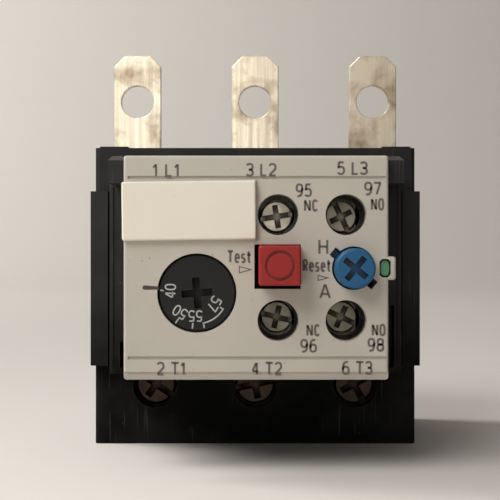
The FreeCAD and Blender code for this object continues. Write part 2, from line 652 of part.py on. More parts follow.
def make_screw(label, sizes, x, depth, z, angle):
    """A pan head screw with a slot and a cross in its head; its axis runs along +Y."""
    radius, head, shank, length = sizes
    screw = Piece(label)
    screw.add("Y", "0", head, circle("0", "0", radius))
    screw.soften("Fillet", "head_round * %s" % head, lambda edge: lies_at(edge, "Y", "0"))
    screw.add("Y", head, length, circle("0", "0", shank))
    screw.soften("Chamfer", "%s / 4" % shank,
                 lambda edge: lies_at(edge, "Y", "%s + %s" % (head, length)))
    cross_deep = "cross_share * %s" % head
    wide = "slot_width * %s" % radius
    long = "cross_length * %s" % radius
    screw.cut("Y", "0", "slot_share * %s" % head, centred("0", "0", "3 * %s" % radius, wide))
    screw.cut("Y", "0", cross_deep, centred("0", "0", wide, long))
    screw.cut("Y", "0", cross_deep, centred("0", "0", long, wide))
    screw.turn_about_y(angle)
    screw.place(x, at(depth), z)


def make_clamp(label, width, height, thick, hole, x, depth, z):
    clamp = Piece(label)
    clamp.add("Y", "0", thick, centred("0", "0", width, height))
    clamp.soften("Chamfer", "(%s) / 3" % thick, lambda edge: along("Y")(edge))
    clamp.cut("Y", "0", thick, circle("0", "0", hole + " + bore_clear"))
    clamp.place(x, at(depth), z)


def make_poles():
    length = "clamp_thick + wire_gap + bar_thick + shank_out"
    for (name, side), angle in zip(POLES, LOAD_SLOT_ANGLES):
        make_line_lug(name, side)
        make_heater(name, side)
        make_bimetal(name, side)
        make_load_terminal(name, side)
        make_clamp("load_clamp_" + name, "clamp_width", "clamp_height", "clamp_thick", "shank_radius",
                   pole_x(side), "screw_depth + screw_head", "terminal_z")
        make_screw("load_screw_" + name, ("screw_radius", "screw_head", "shank_radius", length),
                   pole_x(side), "screw_depth", "terminal_z", angle)


def make_trip_slider():
    """A comb across the poles; each bimetal's free end stands in one of its notches."""
    slider = Piece("trip_slider")
    slider.add("Y", at(SLIDER_DEPTH), "slider_wide",
               rect("-slider_half", "slider_half", "slider_low", "slider_high"))
    near, far = "bimetal_thick / 2 + touch_gap", "bimetal_thick / 2 + touch_gap + slider_travel"
    slider.cut("Y", at(BIMETAL_DEPTH + " - touch_gap"), "slider_gap + slider_wide - bimetal_gap + touch_gap",
               *[rect("%s - (%s)" % (pole_x(side), far), "%s + %s" % (pole_x(side), near),
                      "slider_low", "slider_high") for _, side in POLES])
    slider.add("Y", at("finger_depth"), SLIDER_DEPTH + " - finger_depth",
               rect("finger_x - finger_width", "finger_x",
                    "slider_low + slide_clear", "slider_high - slide_clear"))


# ---------------------------------------------------------------- front housing

def make_front_housing():
    housing = Piece("front_housing")
    housing.add("Y", at("shoulder_depth"), "base_front - shoulder_depth",
                rect("-shoulder_half", "shoulder_half", "shoulder_low", "shoulder_high"))
    housing.soften("Chamfer", "ridge_proud",
                   lambda edge: along("Z")(edge) and lies_at(edge, "Y", at("shoulder_depth")))
    housing.add("Y", at("plate_thick"), "shoulder_depth - plate_thick",
                rect("-" + NECK_HALF, NECK_HALF, NECK_LOW, NECK_HIGH))
    add_corner_blocks(housing)
    add_ridges(housing)
    channel_out = "plate_half + tab_reach - ridge_thick / 2"
    housing.add("Y", at("plate_thick"), "shoulder_depth - plate_thick",
                rect(CAVITY_HALF, channel_out,
                     "indicator_z - tab_half + touch_gap", "indicator_z + tab_half - touch_gap"))
    housing.cut("Y", at("plate_thick"), DECK_DEPTH + " - plate_thick",
                rect("-" + CAVITY_HALF, CAVITY_HALF, CAVITY_LOW, CAVITY_HIGH))
    housing.cut("Y", at("plate_thick"), DECK_DEPTH + " - plate_thick", indicator_hole("indicator_slot"))
    housing.cut("Y", at("guide_depth - 2 * test_travel"), DECK_DEPTH + " - (guide_depth - 2 * test_travel)",
                rect(CAVITY_HALF, "indicator_x + indicator_wide / 2 + indicator_slot",
                     "plate_mid - rocker_half - slide_clear", "plate_mid + rocker_half + slide_clear"))
    housing.cut("Y", at("plate_thick"), "reset_back + reset_travel + slide_clear - plate_thick",
                circle("reset_x", "reset_z", "reset_radius + reset_clear"))
    add_button_wall(housing)
    add_shelves(housing)
    add_deck_details(housing)
    cut_clip_pockets(housing)


def indicator_hole(gap):
    return centred("indicator_x", "indicator_z", "indicator_wide + 2 * " + gap, "indicator_tall + 2 * " + gap)


def add_corner_blocks(housing):
    """Two blocks beside the top of the plate, their tops sloping up to the back."""
    profile = [(at("block_depth"), "block_low"), (at("shoulder_depth"), "block_low"),
               (at("shoulder_depth"), "block_high"), (at("block_depth + block_slope"), "block_high"),
               (at("block_depth"), "block_brow")]
    inner = "(plate_half + touch_gap)"
    for start in ("-block_half", inner):
        housing.add("X", start, "block_half - " + inner, profile)
    strap = rect("-block_half", "block_half", "block_low", "block_brow")
    housing.add("Y", at("plate_thick + skirt_depth + touch_gap"),
                "shoulder_depth - plate_thick - skirt_depth - touch_gap", strap)


def add_ridges(housing):
    for centre in ("-ridge_half", "ridge_half"):
        housing.add("Y", at("shoulder_depth - ridge_proud"), "2 * ridge_proud",
                    rect(centre + " - ridge_thick / 2", centre + " + ridge_thick / 2",
                         "shoulder_low + wall_thick", "block_low"))


def add_button_wall(housing):
    """A cross wall with guides for the spindle, the test stem and the reset plunger."""
    housing.add("Y", at("bridge_depth"), "bridge_thick",
                rect("-" + CAVITY_HALF, CAVITY_HALF, "plate_mid - bridge_half", "plate_mid + bridge_half"))
    housing.cut("Y", at("bridge_depth"), "bridge_thick",
                circle("dial_x", "dial_z", "spindle_radius + bore_clear"),
                circle("test_x", "test_z", "stem_radius + bore_clear"),
                circle("reset_x", "reset_z", "stem_radius + bore_clear"))


def add_shelves(housing):
    """Shelves that back the auxiliary bars, with the wire entries in front of them."""
    for low in (CAVITY_LOW, CAVITY_HIGH + " - shelf_height"):
        housing.add("Y", at("shelf_depth"), "shelf_thick",
                    rect("aux_left - aux_bar_wide / 2 - shelf_thick / 4", CAVITY_HALF,
                         low, low + " + shelf_height"))
    back = AUX_BAR_DEPTH + " - touch_gap / 3"
    entry = [rect(x + " - aux_entry / 2", x + " + aux_entry / 2", at(back + " - aux_entry_deep"), at(back))
             for x in ("aux_left", "aux_right")]
    housing.cut("Z", "shoulder_low", CAVITY_LOW + " - shoulder_low", *entry)
    housing.cut("Z", CAVITY_HIGH, "block_high - " + CAVITY_HIGH, *entry)


def add_deck_details(housing):
    """Guides, bosses and ears on the back wall, and the openings through it."""
    tube = "guide_x", "stem_radius + bore_clear + guide_wall"
    for z in GUIDES:
        housing.add("Y", at("guide_depth"), DECK_DEPTH + " - guide_depth", circle(tube[0], z, tube[1]))
    housing.add("Y", at("lever_depth + lever_thick + slide_clear"),
                DECK_DEPTH + " - (lever_depth + lever_thick + slide_clear)",
                circle("lever_x", "lever_z", "lever_hub"))
    for low in ("plate_mid - rocker_half - slide_clear - ear_thick", "plate_mid + rocker_half + slide_clear"):
        housing.add("Y", at("rocker_depth - lever_hub"), DECK_DEPTH + " - (rocker_depth - lever_hub)",
                    rect("rocker_x - lever_hub", "rocker_x + lever_hub", low, low + " + ear_thick"))
    rails = (("dial_z - foot_half - slide_clear - ear_thick", "arm_x + arm_width + cam_lift"),
             ("dial_z + foot_half + slide_clear", "arm_x - touch_gap"))
    for low, right in rails:
        housing.add("Y", at("cam_depth"), DECK_DEPTH + " - cam_depth",
                    rect("dial_x + cam_radius + cam_lift + 2 * touch_gap", right, low, low + " + ear_thick"))
    housing.cut("Y", at("guide_depth"), DECK_DEPTH + " - guide_depth",
                *[circle("guide_x", z, "stem_radius + bore_clear") for z in GUIDES])
    housing.cut("Y", at(DECK_DEPTH), "deck_thick", circle("dial_x", "dial_z", "journal_radius + bore_clear"),
                finger_window())
    housing.cut("Y", at("lever_depth + lever_thick"), "base_front - lever_depth - lever_thick",
                circle("lever_x", "lever_z", "lever_pin"))
    housing.cut("Z", "plate_mid - rocker_half - slide_clear - ear_thick",
                "2 * (rocker_half + slide_clear + ear_thick)",
                circle("rocker_x", at("rocker_depth"), "lever_pin"))


GUIDES = ("plate_mid - guide_rise", "plate_mid + guide_rise")


def cut_clip_pockets(housing):
    """Narrow pockets in the shoulders where the plate's clips are released."""
    low = "plate_mid - plate_height / 2 + clip_rise"
    left, right = "-(plate_half + left_clip_gap)", "plate_half + right_clip_gap"
    housing.cut("Y", at("shoulder_depth"), "clip_deep",
                rect(left + " - left_clip_wide", left, low, low + " + left_clip_high"),
                rect(right, right + " + right_clip_wide", low, low + " + right_clip_high"))


def make_front_plate():
    plate = Piece("front_plate")
    low, high = "plate_mid - plate_height / 2", "plate_mid + plate_height / 2"
    tab_edge, tab_low, tab_high = "plate_half + tab_reach", "indicator_z - tab_half", "indicator_z + tab_half"
    outline = [("-plate_half", low), ("plate_half", low), ("plate_half", tab_low), (tab_edge, tab_low),
               (tab_edge, tab_high), ("plate_half", tab_high), ("plate_half", high), ("-plate_half", high)]
    plate.add("Y", at("0"), "plate_thick + skirt_depth", outline)

    def beside_tab(edge):
        level = any(lies_at(edge, "Z", height) for height in (tab_low, tab_high))
        return level and lies_at(edge, "X", "plate_half")

    plate.soften("Fillet", "edge_round", lambda edge: along("Y")(edge) and not beside_tab(edge))
    plate.soften("Fillet", "rim_round", lambda edge: lies_at(edge, "Y", at("0")))
    plate.cut("X", "-plate_half", "2 * plate_half",
              [(at("0"), low), (at("lip_slope"), low), (at("0"), low + " + lip_bevel")])
    plate.cut("Y", at("plate_thick"), "skirt_depth", rect("-" + NECK_HALF, NECK_HALF, NECK_LOW, NECK_HIGH))
    plate.cut("Y", at("plate_thick"), "skirt_depth",
              rect(CAVITY_HALF, tab_edge + " - ridge_thick / 2", tab_low + " + touch_gap",
                   tab_high + " - touch_gap"))
    cut_grooves(plate)
    for _, x, z, _, _ in AUXILIARIES:
        plate.cone("Additive", x, at("plate_thick"), z, "aux_well + collar_wall",
                   "aux_well_end + collar_wall", "collar_end - plate_thick")
        plate.cone("Subtractive", x, at("0"), z, "aux_well", "aux_well_end", "collar_end")
    cut_control_holes(plate)


def cut_grooves(plate):
    """Two long grooves, the lip line, and the sunk strip with its notches beside the marking tag."""
    edge = "(plate_half - groove_stop)"
    low = "plate_mid - plate_height / 2"
    for left, right, centre in (("-(plate_half - groove_start)", edge, GROOVE_HIGH),
                                ("-(plate_half - groove_start)", edge, low + " + groove_inset"),
                                ("-plate_half", "plate_half", low + " + lip_rise")):
        plate.cut("Y", at("0"), "groove_deep",
                  rect(left, right, centre + " - groove_wide / 2", centre + " + groove_wide / 2"))
    plate.cut("Y", at("0"), "groove_deep", rect("0", "tag_recess", "tag_low", GROOVE_HIGH))
    for low in ("tag_low + 1.5 * notch_high", "tag_low + tag_height / 2 + notch_high / 3"):
        plate.cut("Y", at("0"), "groove_deep",
                  rect("tag_recess / 2", "tag_recess + notch_high", low, low + " + notch_high"))


def cut_control_holes(plate):
    plate.cut("Y", at("0"), "plate_thick", circle("dial_x", "dial_z", "dial_radius + dial_clear"))
    plate.cut("Y", at("0"), "plate_thick",
              centred("test_x - test_shift", "test_z - test_shift",
                      "test_width + 2 * test_clear", "test_height + 2 * test_clear"))
    plate.cut("Y", at("0"), "plate_thick", circle("reset_x", "reset_z", "reset_radius + reset_clear"))
    plate.cut("Y", at("0"), "plate_thick", indicator_window())
    for angle in ("reset_tab_angle", "reset_notch_angle"):
        plate.cut("Y", at("0"), "plate_thick",
                  spoke(angle, "reset_tab + touch_gap", "reset_tab_wide + 2 * touch_gap"))


def indicator_window():
    """The indicator's hole in the plate, with its corners cut."""
    left, right = (("indicator_x %s (indicator_wide / 2 + indicator_slot)" % sign) for sign in "-+")
    low, high = (("indicator_z %s (indicator_tall / 2 + indicator_slot)" % sign) for sign in "-+")
    corner = "window_corner"
    return [(left + " + " + corner, low), (right + " - " + corner, low), (right, low + " + " + corner),
            (right, high + " - " + corner), (right + " - " + corner, high), (left + " + " + corner, high),
            (left, high + " - " + corner), (left, low + " + " + corner)]


def spoke(angle, reach, wide):
    """A bar from the reset axis outwards, turned by an angle given in degrees."""
    cos, sin = "cos((%s) * 1deg)" % angle, "sin((%s) * 1deg)" % angle
    corners = []
    for length, side in (("0", "-"), (reach, "-"), (reach, ""), ("0", "")):
        across = "%s(%s) / 2" % (side, wide)
        corners.append(("reset_x + (%s) * %s - (%s) * %s" % (length, cos, across, sin),
                        "reset_z + (%s) * %s + (%s) * %s" % (length, sin, across, cos)))
    return corners


def make_marking_tag():
    tag = Piece("marking_tag")
    tag.add("Y", "-tag_thick", "tag_thick", centred("0", "0", "tag_width", "tag_height"))
    tag.soften("Fillet", "tag_round", lambda edge: lies_at(edge, "Y", "-tag_thick") or along("Y")(edge))
    tag.turn_about_y(value("tag_tilt"))
    tag.place("-tag_width / 2", at("0"), "tag_low + tag_height / 2")


# ---------------------------------------------------------------- setting dial

def make_dial():
    dial = Piece("setting_dial")
    dial.add("Y", "0", "dial_thick", circle("0", "0", "dial_radius"))
    dial.soften("Chamfer", "dial_slot_wide / 5", lambda edge: lies_at(edge, "Y", "0"))
    dial.cut("Y", "0", "dial_slot_deep", centred("0", "0", "dial_slot", "dial_slot_wide"))
    dial.cut("Y", "0", "dial_slot_deep", centred("0", "0", "dial_slot_wide", "dial_slot"))
    dial.turn_about_y(value("dial_slot_turn"))
    dial.place("dial_x", at("dial_depth"), "dial_z")


def make_spindle():
    """The spindle carries the spiral cam that moves the adjusting slide."""
    spindle = Piece("dial_spindle")
    back, journal = "dial_depth + dial_thick", "cam_depth + cam_thick"
    spindle.add("Y", back, journal + " - (" + back + ")", circle("0", "0", "spindle_radius"))
    spindle.add("Y", journal, "base_front - slide_clear - (" + journal + ")",
                circle("0", "0", "journal_radius"))
    spindle.add("Y", "cam_depth", "cam_thick", spiral_rim())
    spindle.place("dial_x", at("0"), "dial_z")


def spiral_rim():
    """Corners of a disc whose radius grows evenly with the angle over the dial's travel."""
    corners = []
    for step in range(-CAM_BASE_STEPS, CAM_STEPS + CAM_LAND_STEPS + 1):
        risen = min(max(step, 0), CAM_STEPS)
        radius = "(cam_radius + %d * cam_lift / %d)" % (risen, CAM_STEPS)
        angle = "(%d * dial_travel / %d * 1deg)" % (step, CAM_STEPS)
        corners.append((radius + " * cos" + angle, radius + " * sin" + angle))
    return corners


def make_adjusting_slide():
    """A foot that follows the cam and an arm that carries the compensation strip."""
    slide = Piece("adjusting_slide")
    nose = "dial_x + cam_radius + touch_gap"
    low, high = "dial_z - foot_half", "dial_z + foot_half"
    slide.add("Y", at("cam_depth"), "cam_thick",
              [(nose, "dial_z - ridge_thick / 2"), (nose + " + foot_half", low),
               ("arm_x + arm_width", low), ("arm_x + arm_width", "arm_high"),
               ("arm_x + slide_clear", "arm_high"), ("arm_x + slide_clear", high),
               (nose + " + foot_half", high), (nose, "dial_z + ridge_thick / 2")])
    slide.add("Y", at("strip_depth"), "cam_depth + cam_thick - strip_depth",
              rect("arm_x", "arm_x + arm_width", "seat_low", "arm_high"))


def make_compensation_strip():
    strip = Piece("compensation_strip")
    strip.add("Y", at("strip_depth"), "strip_width",
              rect("arm_x - strip_thick", "arm_x", "strip_low", "arm_high"))


# ---------------------------------------------------------------- trip mechanism

def make_trip_lever():
    """A bell crank between the compensation strip and the contact carrier."""
    lever = Piece("trip_lever")
    pin_reach = "lever_x - lever_pin", "lever_x + lever_pin"
    lever.add("Y", at("lever_depth"), "lever_thick", circle("lever_x", "lever_z", "lever_hub"))
    lever.add("Y", at("lever_depth"), "lever_thick",
              rect(pin_reach[0], pin_reach[1], "lever_z", "plate_mid - carrier_half - 4 * touch_gap"))
    lever.add("Y", at("lever_depth"), "lever_thick",
              rect("arm_x + cam_lift + touch_gap", "lever_x",
                   "lever_z + lever_hub", "lever_z + 2 * lever_hub"))
    lever.cut("Y", at("lever_depth"), "lever_thick", circle("lever_x", "lever_z", "lever_pin + bore_clear"))


def make_small_pins():
    pin = Piece("trip_lever_pin")
    pin.add("Y", at("lever_depth - ridge_thick"), "base_front - lever_depth + ridge_thick",
            circle("lever_x", "lever_z", "lever_pin"))
    pin.add("Y", at("lever_depth - 2 * ridge_thick"), "ridge_thick + slide_clear",
            circle("lever_x", "lever_z", "pin_head"))
    pin = Piece("rocker_pin")
    reach = "(rocker_half + slide_clear + ear_thick)"
    pin.add("Z", "plate_mid - " + reach, "2 * " + reach, circle("rocker_x", at("rocker_depth"), "lever_pin"))


def make_trip_rocker():
    """Turns the carrier's push to the back into the indicator's way to the front."""
    rocker = Piece("trip_rocker")
    low, high = "plate_mid - rocker_half", "2 * rocker_half"
    push_front = "(push_depth + touch_gap)"
    show_front = "(indicator_end + touch_gap)"
    half = "rocker_thick / 2"
    rocker.add("Z", low, high, circle("rocker_x", at("rocker_depth"), "lever_hub"))
    arm_low, arm_high = "plate_mid - rocker_half / 2", "rocker_half"
    rocker.add("Z", arm_low, arm_high,
               [("push_x - ridge_thick", at(push_front)), ("push_x + ridge_thick", at(push_front)),
                ("rocker_x", at("rocker_depth - " + half)), ("rocker_x", at("rocker_depth + " + half)),
                ("push_x - ridge_thick", at(push_front + " + rocker_thick"))])
    end = "(indicator_x + indicator_wide / 2)"
    rocker.add("Z", arm_low, arm_high,
               [("rocker_x", at("rocker_depth - " + half)), (end, at(show_front)),
                (end, at(show_front + " + rocker_thick")), ("rocker_x", at("rocker_depth + " + half))])
    rocker.cut("Z", low, high, circle("rocker_x", at("rocker_depth"), "lever_pin + bore_clear"))


def make_contact_carrier():
    carrier = Piece("contact_carrier")
    low, high = "plate_mid - carrier_half", "plate_mid + carrier_half"
    carrier.add("Y", at(CARRIER_DEPTH), "carrier_thick", rect("carrier_left", "carrier_right", low, high))
    carrier.soften("Fillet", "edge_round", along("Y"))
    side = "2 * stem_radius"
    carrier.add("Y", at(NO_STRIP_DEPTH), CARRIER_DEPTH + " - " + NO_STRIP_DEPTH,
                rect("no_x - bridge_wide / 2", "carrier_right",
                     "plate_mid - stem_radius", "plate_mid + stem_radius"))
    back = "(" + CARRIER_DEPTH + " + carrier_thick)"
    carrier.add("Y", at(back), "push_depth - " + back, centred("push_x", "plate_mid", side, side))
    for z in GUIDES:
        carrier.add("Y", at(back), DECK_DEPTH + " - slide_clear - test_travel - " + back,
                    circle("guide_x", z, "stem_radius"))


def make_bridge(label, x, strip_depth, rivet_depth):
    """A contact bridge with a rivet at each end."""
    bridge = Piece(label)
    reach = "(contact_rise + contact_radius)"
    bridge.add("Y", at(strip_depth), "bridge_strip",
               centred(x, "plate_mid", "bridge_wide", "2 * " + reach))
    for sign in ("-", "+"):
        bridge.add("Y", at(rivet_depth), "contact_high",
                   circle(x, "plate_mid %s contact_rise" % sign, "contact_radius"))
    return bridge


def make_bridges():
    make_bridge("opening_bridge", "aux_left", NC_STRIP_DEPTH, NC_STRIP_DEPTH + " - contact_high")
    closing = make_bridge("closing_bridge", "no_x", NO_STRIP_DEPTH, NO_STRIP_DEPTH + " + bridge_strip")
    closing.cut("Y", at(NO_STRIP_DEPTH), "bridge_strip",
                centred("no_x", "plate_mid", "bridge_wide", "2 * stem_radius"))


# ---------------------------------------------------------------- buttons

def make_test_button():
    button = Piece("test_button")
    button.add("Y", at("-test_proud"), "test_length",
               centred("test_x", "test_z", "test_width", "test_height"))
    button.soften("Fillet", "test_edge",
                  lambda edge: lies_at(edge, "Y", at("-test_proud")) or along("Y")(edge))
    button.cut("Y", at("-test_proud"), "ring_deep", circle("test_x", "test_z", "ring_inner"),
               circle("test_x", "test_z", "ring_outer"))
    stem_end = NC_STRIP_DEPTH + " - touch_gap"
    button.add("Y", at("test_length - test_proud"), stem_end + " - (test_length - test_proud)",
               circle("test_x", "test_z", "stem_radius"))


def make_reset_button():
    """The cap turns between two settings; its pointer tab runs under the front plate."""
    cap = Piece("reset_button")
    length = "reset_proud + reset_back"
    cap.add("Y", at("-reset_proud"), length, circle("reset_x", "reset_z", "reset_radius"))
    cap.soften("Fillet", "reset_edge", lambda edge: lies_at(edge, "Y", at("-reset_proud")))
    cap.add("Y", at("plate_thick + slide_clear"), "reset_back - plate_thick - slide_clear",
            spoke("reset_tab_angle", "reset_tab", "reset_tab_wide"))
    for angle in ("reset_tab_angle", "reset_tab_angle + 90"):
        cap.cut("Y", at("-reset_proud"), "reset_slot_deep", turned_slot(angle))
    cap.cut("Y", at("reset_back - screw_head / 2"), "screw_head / 2",
            circle("reset_x", "reset_z", "journal_radius + bore_clear"))


def turned_slot(angle):
    """A slot through the reset axis, turned by an angle."""
    back = spoke("(%s) + 180" % angle, "reset_slot / 2", "reset_slot_wide")
    front = spoke("(%s)" % angle, "reset_slot / 2", "reset_slot_wide")
    return [back[1], back[2], front[1], front[2]]


def make_reset_plunger():
    plunger = Piece("reset_plunger")
    plunger.add("Y", at("reset_back"), "plunger_reach - reset_travel - reset_back",
                circle("reset_x", "reset_z", "stem_radius"))
    plunger.add("Y", at("reset_back - screw_head / 2 + slide_clear"), "screw_head / 2 - slide_clear",
                circle("reset_x", "reset_z", "journal_radius"))
    plunger.add("Y", at("reset_back"), "ridge_thick",
                circle("reset_x", "reset_z", "spring_radius + spring_wire"))


def make_spring(label, x, z, start, end):
    """A helical spring that lies along Y between two depths, its wire bent in short straight steps."""
    length = "(%s - (%s) - 2 * spring_wire - 2 * spring_rest)" % (end, start)
    helix = doc.addObject("Part::Helix", "Helix_" + label)
    helix.setExpression("Height", formula(length))
    helix.setExpression("Pitch", formula(length + " / spring_turns"))
    helix.setExpression("Radius", formula("spring_radius"))
    doc.recompute()
    corners = helix.Shape.discretize(Number=round(value("spring_turns") * SPRING_STEPS) + 1)
    bends = doc.addObject("Part::Feature", "Bends_" + label)
    bends.Shape = Part.makePolygon(corners)
    wire = doc.addObject("Part::Circle", "Wire_" + label)
    wire.Placement = FreeCAD.Placement(corners[0], Rotation(Vector(0, 0, 1), corners[1] - corners[0]))
    wire.setExpression("Radius", formula("spring_wire"))
    coil = doc.addObject("Part::Sweep", "Coil_" + label)
    coil.Sections = [wire]
    coil.Spine = (bends, ["Edge%d" % (number + 1) for number in range(len(corners) - 1)])
    coil.Solid = True
    coil.Transition = "Right corner"
    spring = doc.addObject("Part::Compound", "Spring_" + label)
    spring.Links = [coil]
    spring.Label = label
    spring.Placement = FreeCAD.Placement(Vector(), Rotation(Vector(1, 0, 0), -90))
    bind_place(spring, x, at("%s + spring_wire + spring_rest" % start), z)
    pieces[label] = spring


def make_indicator():
    pin = Piece("trip_indicator")
    pin.add("Y", at("indicator_depth"), "indicator_end - indicator_depth",
            centred("indicator_x", "indicator_z", "indicator_wide", "indicator_tall"))
    pin.soften("Fillet", "indicator_round", along("Y"))
    pin.soften("Fillet", "indicator_slot / 2", lambda edge: lies_at(edge, "Y", at("indicator_depth")))


# ---------------------------------------------------------------- auxiliary terminals

def make_auxiliary_bar(number, x, up):
    """A bar from the housing's wall past its screw to the contact rivet."""
    bar = Piece("auxiliary_bar_" + number)
    tip = "(plate_mid + %d * (contact_rise - contact_radius))" % up
    wall = CAVITY_HIGH if up > 0 else CAVITY_LOW
    low, high = (tip, wall) if up > 0 else (wall, tip)
    bar.add("Y", at(AUX_BAR_DEPTH), "aux_bar",
            rect(x + " - aux_bar_wide / 2", x + " + aux_bar_wide / 2", low, high))
    screw_z = "plate_mid + %d * aux_rise" % up
    bar.cut("Y", at(AUX_BAR_DEPTH), "aux_bar", circle(x, screw_z, "aux_shank + bore_clear"))
    opening = x == "aux_left"
    rivet_depth = AUX_BAR_DEPTH + (" + aux_bar" if opening else " - contact_high")
    rivet_x = x if opening else "no_x"
    bar.add("Y", at(rivet_depth), "contact_high",
            circle(rivet_x, "plate_mid + %d * contact_rise" % up, "contact_radius"))


def make_auxiliaries():
    length = "washer_thick + aux_gap + aux_bar + aux_out"
    for number, x, z, up, angle in AUXILIARIES:
        make_auxiliary_bar(number, x, up)
        make_clamp("clamp_washer_" + number, "washer_side", "washer_side", "washer_thick", "aux_shank",
                   x, "aux_depth + aux_head", z)
        make_screw("auxiliary_screw_" + number, ("aux_radius", "aux_head", "aux_shank", length),
                   x, "aux_depth", z, angle)


# ---------------------------------------------------------------- build, check and write

def check_features():
    """Stop at a failed object, and at a pad or pocket that changes nothing."""
    for thing in doc.Objects:
        if "Invalid" in thing.State or "Error" in thing.State:
            owner = thing.getParentGeoFeatureGroup() or thing
            raise RuntimeError("%s of %s failed: %s" % (thing.Name, owner.Label, thing.State))
        base = getattr(thing, "BaseFeature", None)
        if base is not None and abs(thing.Shape.Volume - base.Shape.Volume) < 1e-6:
            owner = thing.getParentGeoFeatureGroup()
            raise RuntimeError("%s in %s changes nothing" % (thing.Name, owner.Label))


def check_pieces():
    for label, piece in pieces.items():
        if piece.Shape.isNull() or not piece.Shape.isValid():
            raise RuntimeError("%s has no valid shape" % label)


def write_pieces():
    os.makedirs("parts", exist_ok=True)
    for label, piece in pieces.items():
        piece.Shape.exportStep("parts/%s.step" % label)


make_base_housing()
make_rear_cover()
make_cover_screws()
make_poles()
make_trip_slider()
make_front_housing()
make_front_plate()
make_marking_tag()
make_dial()
make_spindle()
make_adjusting_slide()
make_compensation_strip()
make_trip_lever()
make_small_pins()
make_trip_rocker()
make_contact_carrier()
make_bridges()
make_test_button()
make_reset_button()
make_reset_plunger()
make_spring("test_spring", "test_x", "test_z", "test_length - test_proud", "bridge_depth")
make_spring("reset_spring", "reset_x", "reset_z", "reset_back + ridge_thick", "bridge_depth")
make_indicator()
make_auxiliaries()
doc.recompute()
check_features()
check_pieces()
write_pieces()
print(len(pieces), "pieces written")
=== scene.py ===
"""Finishes, printed marks and a plain studio for a thermal overload relay."""

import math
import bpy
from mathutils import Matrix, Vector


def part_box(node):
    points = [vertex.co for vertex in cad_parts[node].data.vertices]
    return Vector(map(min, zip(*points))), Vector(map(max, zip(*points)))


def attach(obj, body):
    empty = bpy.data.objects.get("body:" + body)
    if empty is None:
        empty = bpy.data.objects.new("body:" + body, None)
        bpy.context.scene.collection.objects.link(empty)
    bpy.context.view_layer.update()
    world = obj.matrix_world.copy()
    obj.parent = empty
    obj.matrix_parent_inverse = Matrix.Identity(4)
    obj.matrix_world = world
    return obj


bl_info = {
    "name": "Thermal Overload Relay",
    "version": (1, 0, 0),
    "blender": (4, 5, 0),
    "location": "View3D > Sidebar > Relay",
    "description": "Finishes the relay's mouldings and metal parts, prints its marks and sets the studio",
    "category": "Object",
}

import bpy
import numpy as np

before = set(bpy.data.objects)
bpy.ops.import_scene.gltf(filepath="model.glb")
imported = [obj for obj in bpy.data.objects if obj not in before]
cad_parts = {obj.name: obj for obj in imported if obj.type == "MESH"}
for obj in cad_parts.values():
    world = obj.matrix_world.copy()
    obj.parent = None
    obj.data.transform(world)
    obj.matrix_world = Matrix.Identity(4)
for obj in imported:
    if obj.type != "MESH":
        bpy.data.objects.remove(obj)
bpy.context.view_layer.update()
MM = 0.001
SIDES = ("left", "middle", "right")
AUXILIARY = ("95", "96", "97", "98")


# ------------------------------------------------------------------ settings

def colour(name, description, red, green, blue):
    """A colour setting whose default is given as it looks on a screen, from 0 to 255."""
    default = tuple(linear(part) for part in (red, green, blue)) + (1.0,)
    return bpy.props.FloatVectorProperty(
        name=name, description=description, subtype="COLOR", size=4, min=0.0, max=1.0, default=default)


def length(name, description, default):
    """A length setting in metres."""
    return bpy.props.FloatProperty(
        name=name, description=description, default=default, min=0.0, precision=5, unit="LENGTH")


def linear(part):
    """The amount of light that a screen value from 0 to 255 stands for."""
    part = part / 255.0
    return part / 12.92 if part <= 0.04045 else ((part + 0.055) / 1.055) ** 2.4


class RelayMouldings(bpy.types.PropertyGroup):
    plate: colour("Front plate", "Colour of the front plate", 188, 182, 170)
    tag: colour("Marking tag", "Colour of the blank marking tag", 228, 221, 205)
    housing: colour("Housing", "Colour of the black mouldings", 17, 17, 16)
    scuff: colour("Scuff", "Colour of rubbed edges on the black mouldings", 84, 82, 78)
    dial: colour("Dial", "Colour of the setting dial", 18, 19, 17)
    test: colour("Test button", "Colour of the test button", 148, 27, 22)
    reset: colour("Reset button", "Colour of the reset button", 20, 84, 124)
    indicator: colour("Indicator", "Colour of the trip indicator", 84, 138, 106)
    inner: colour("Inner parts", "Colour of the mechanism's mouldings", 205, 200, 188)
    grain_height: length("Grain", "Height of the mouldings' grain", 0.02 * MM)
    wear_radius: length("Worn edge", "Width of the rubbed edges", 0.28 * MM)


class RelayMetals(bpy.types.PropertyGroup):
    plating: colour("Lug plating", "Colour of the plated lugs and bars", 238, 226, 204)
    tarnish: colour("Tarnish", "Colour of the darker streaks in the plating", 150, 130, 104)
    screw: colour("Screws", "Colour of the zinc plated auxiliary screws", 226, 218, 198)
    screw_shade: colour("Screw shade", "Colour of the dull patches on the screws", 150, 144, 128)
    # The load screws' colour is partly their own dark steel and partly painted shade from their deep wells
    load_screw: colour("Load screws", "Colour of the darker load screws", 58, 48, 42)
    heater: colour("Heater", "Colour of the resistance strip", 150, 132, 116)
    bimetal: colour("Bimetal", "Colour of the bimetal strips", 176, 170, 160)


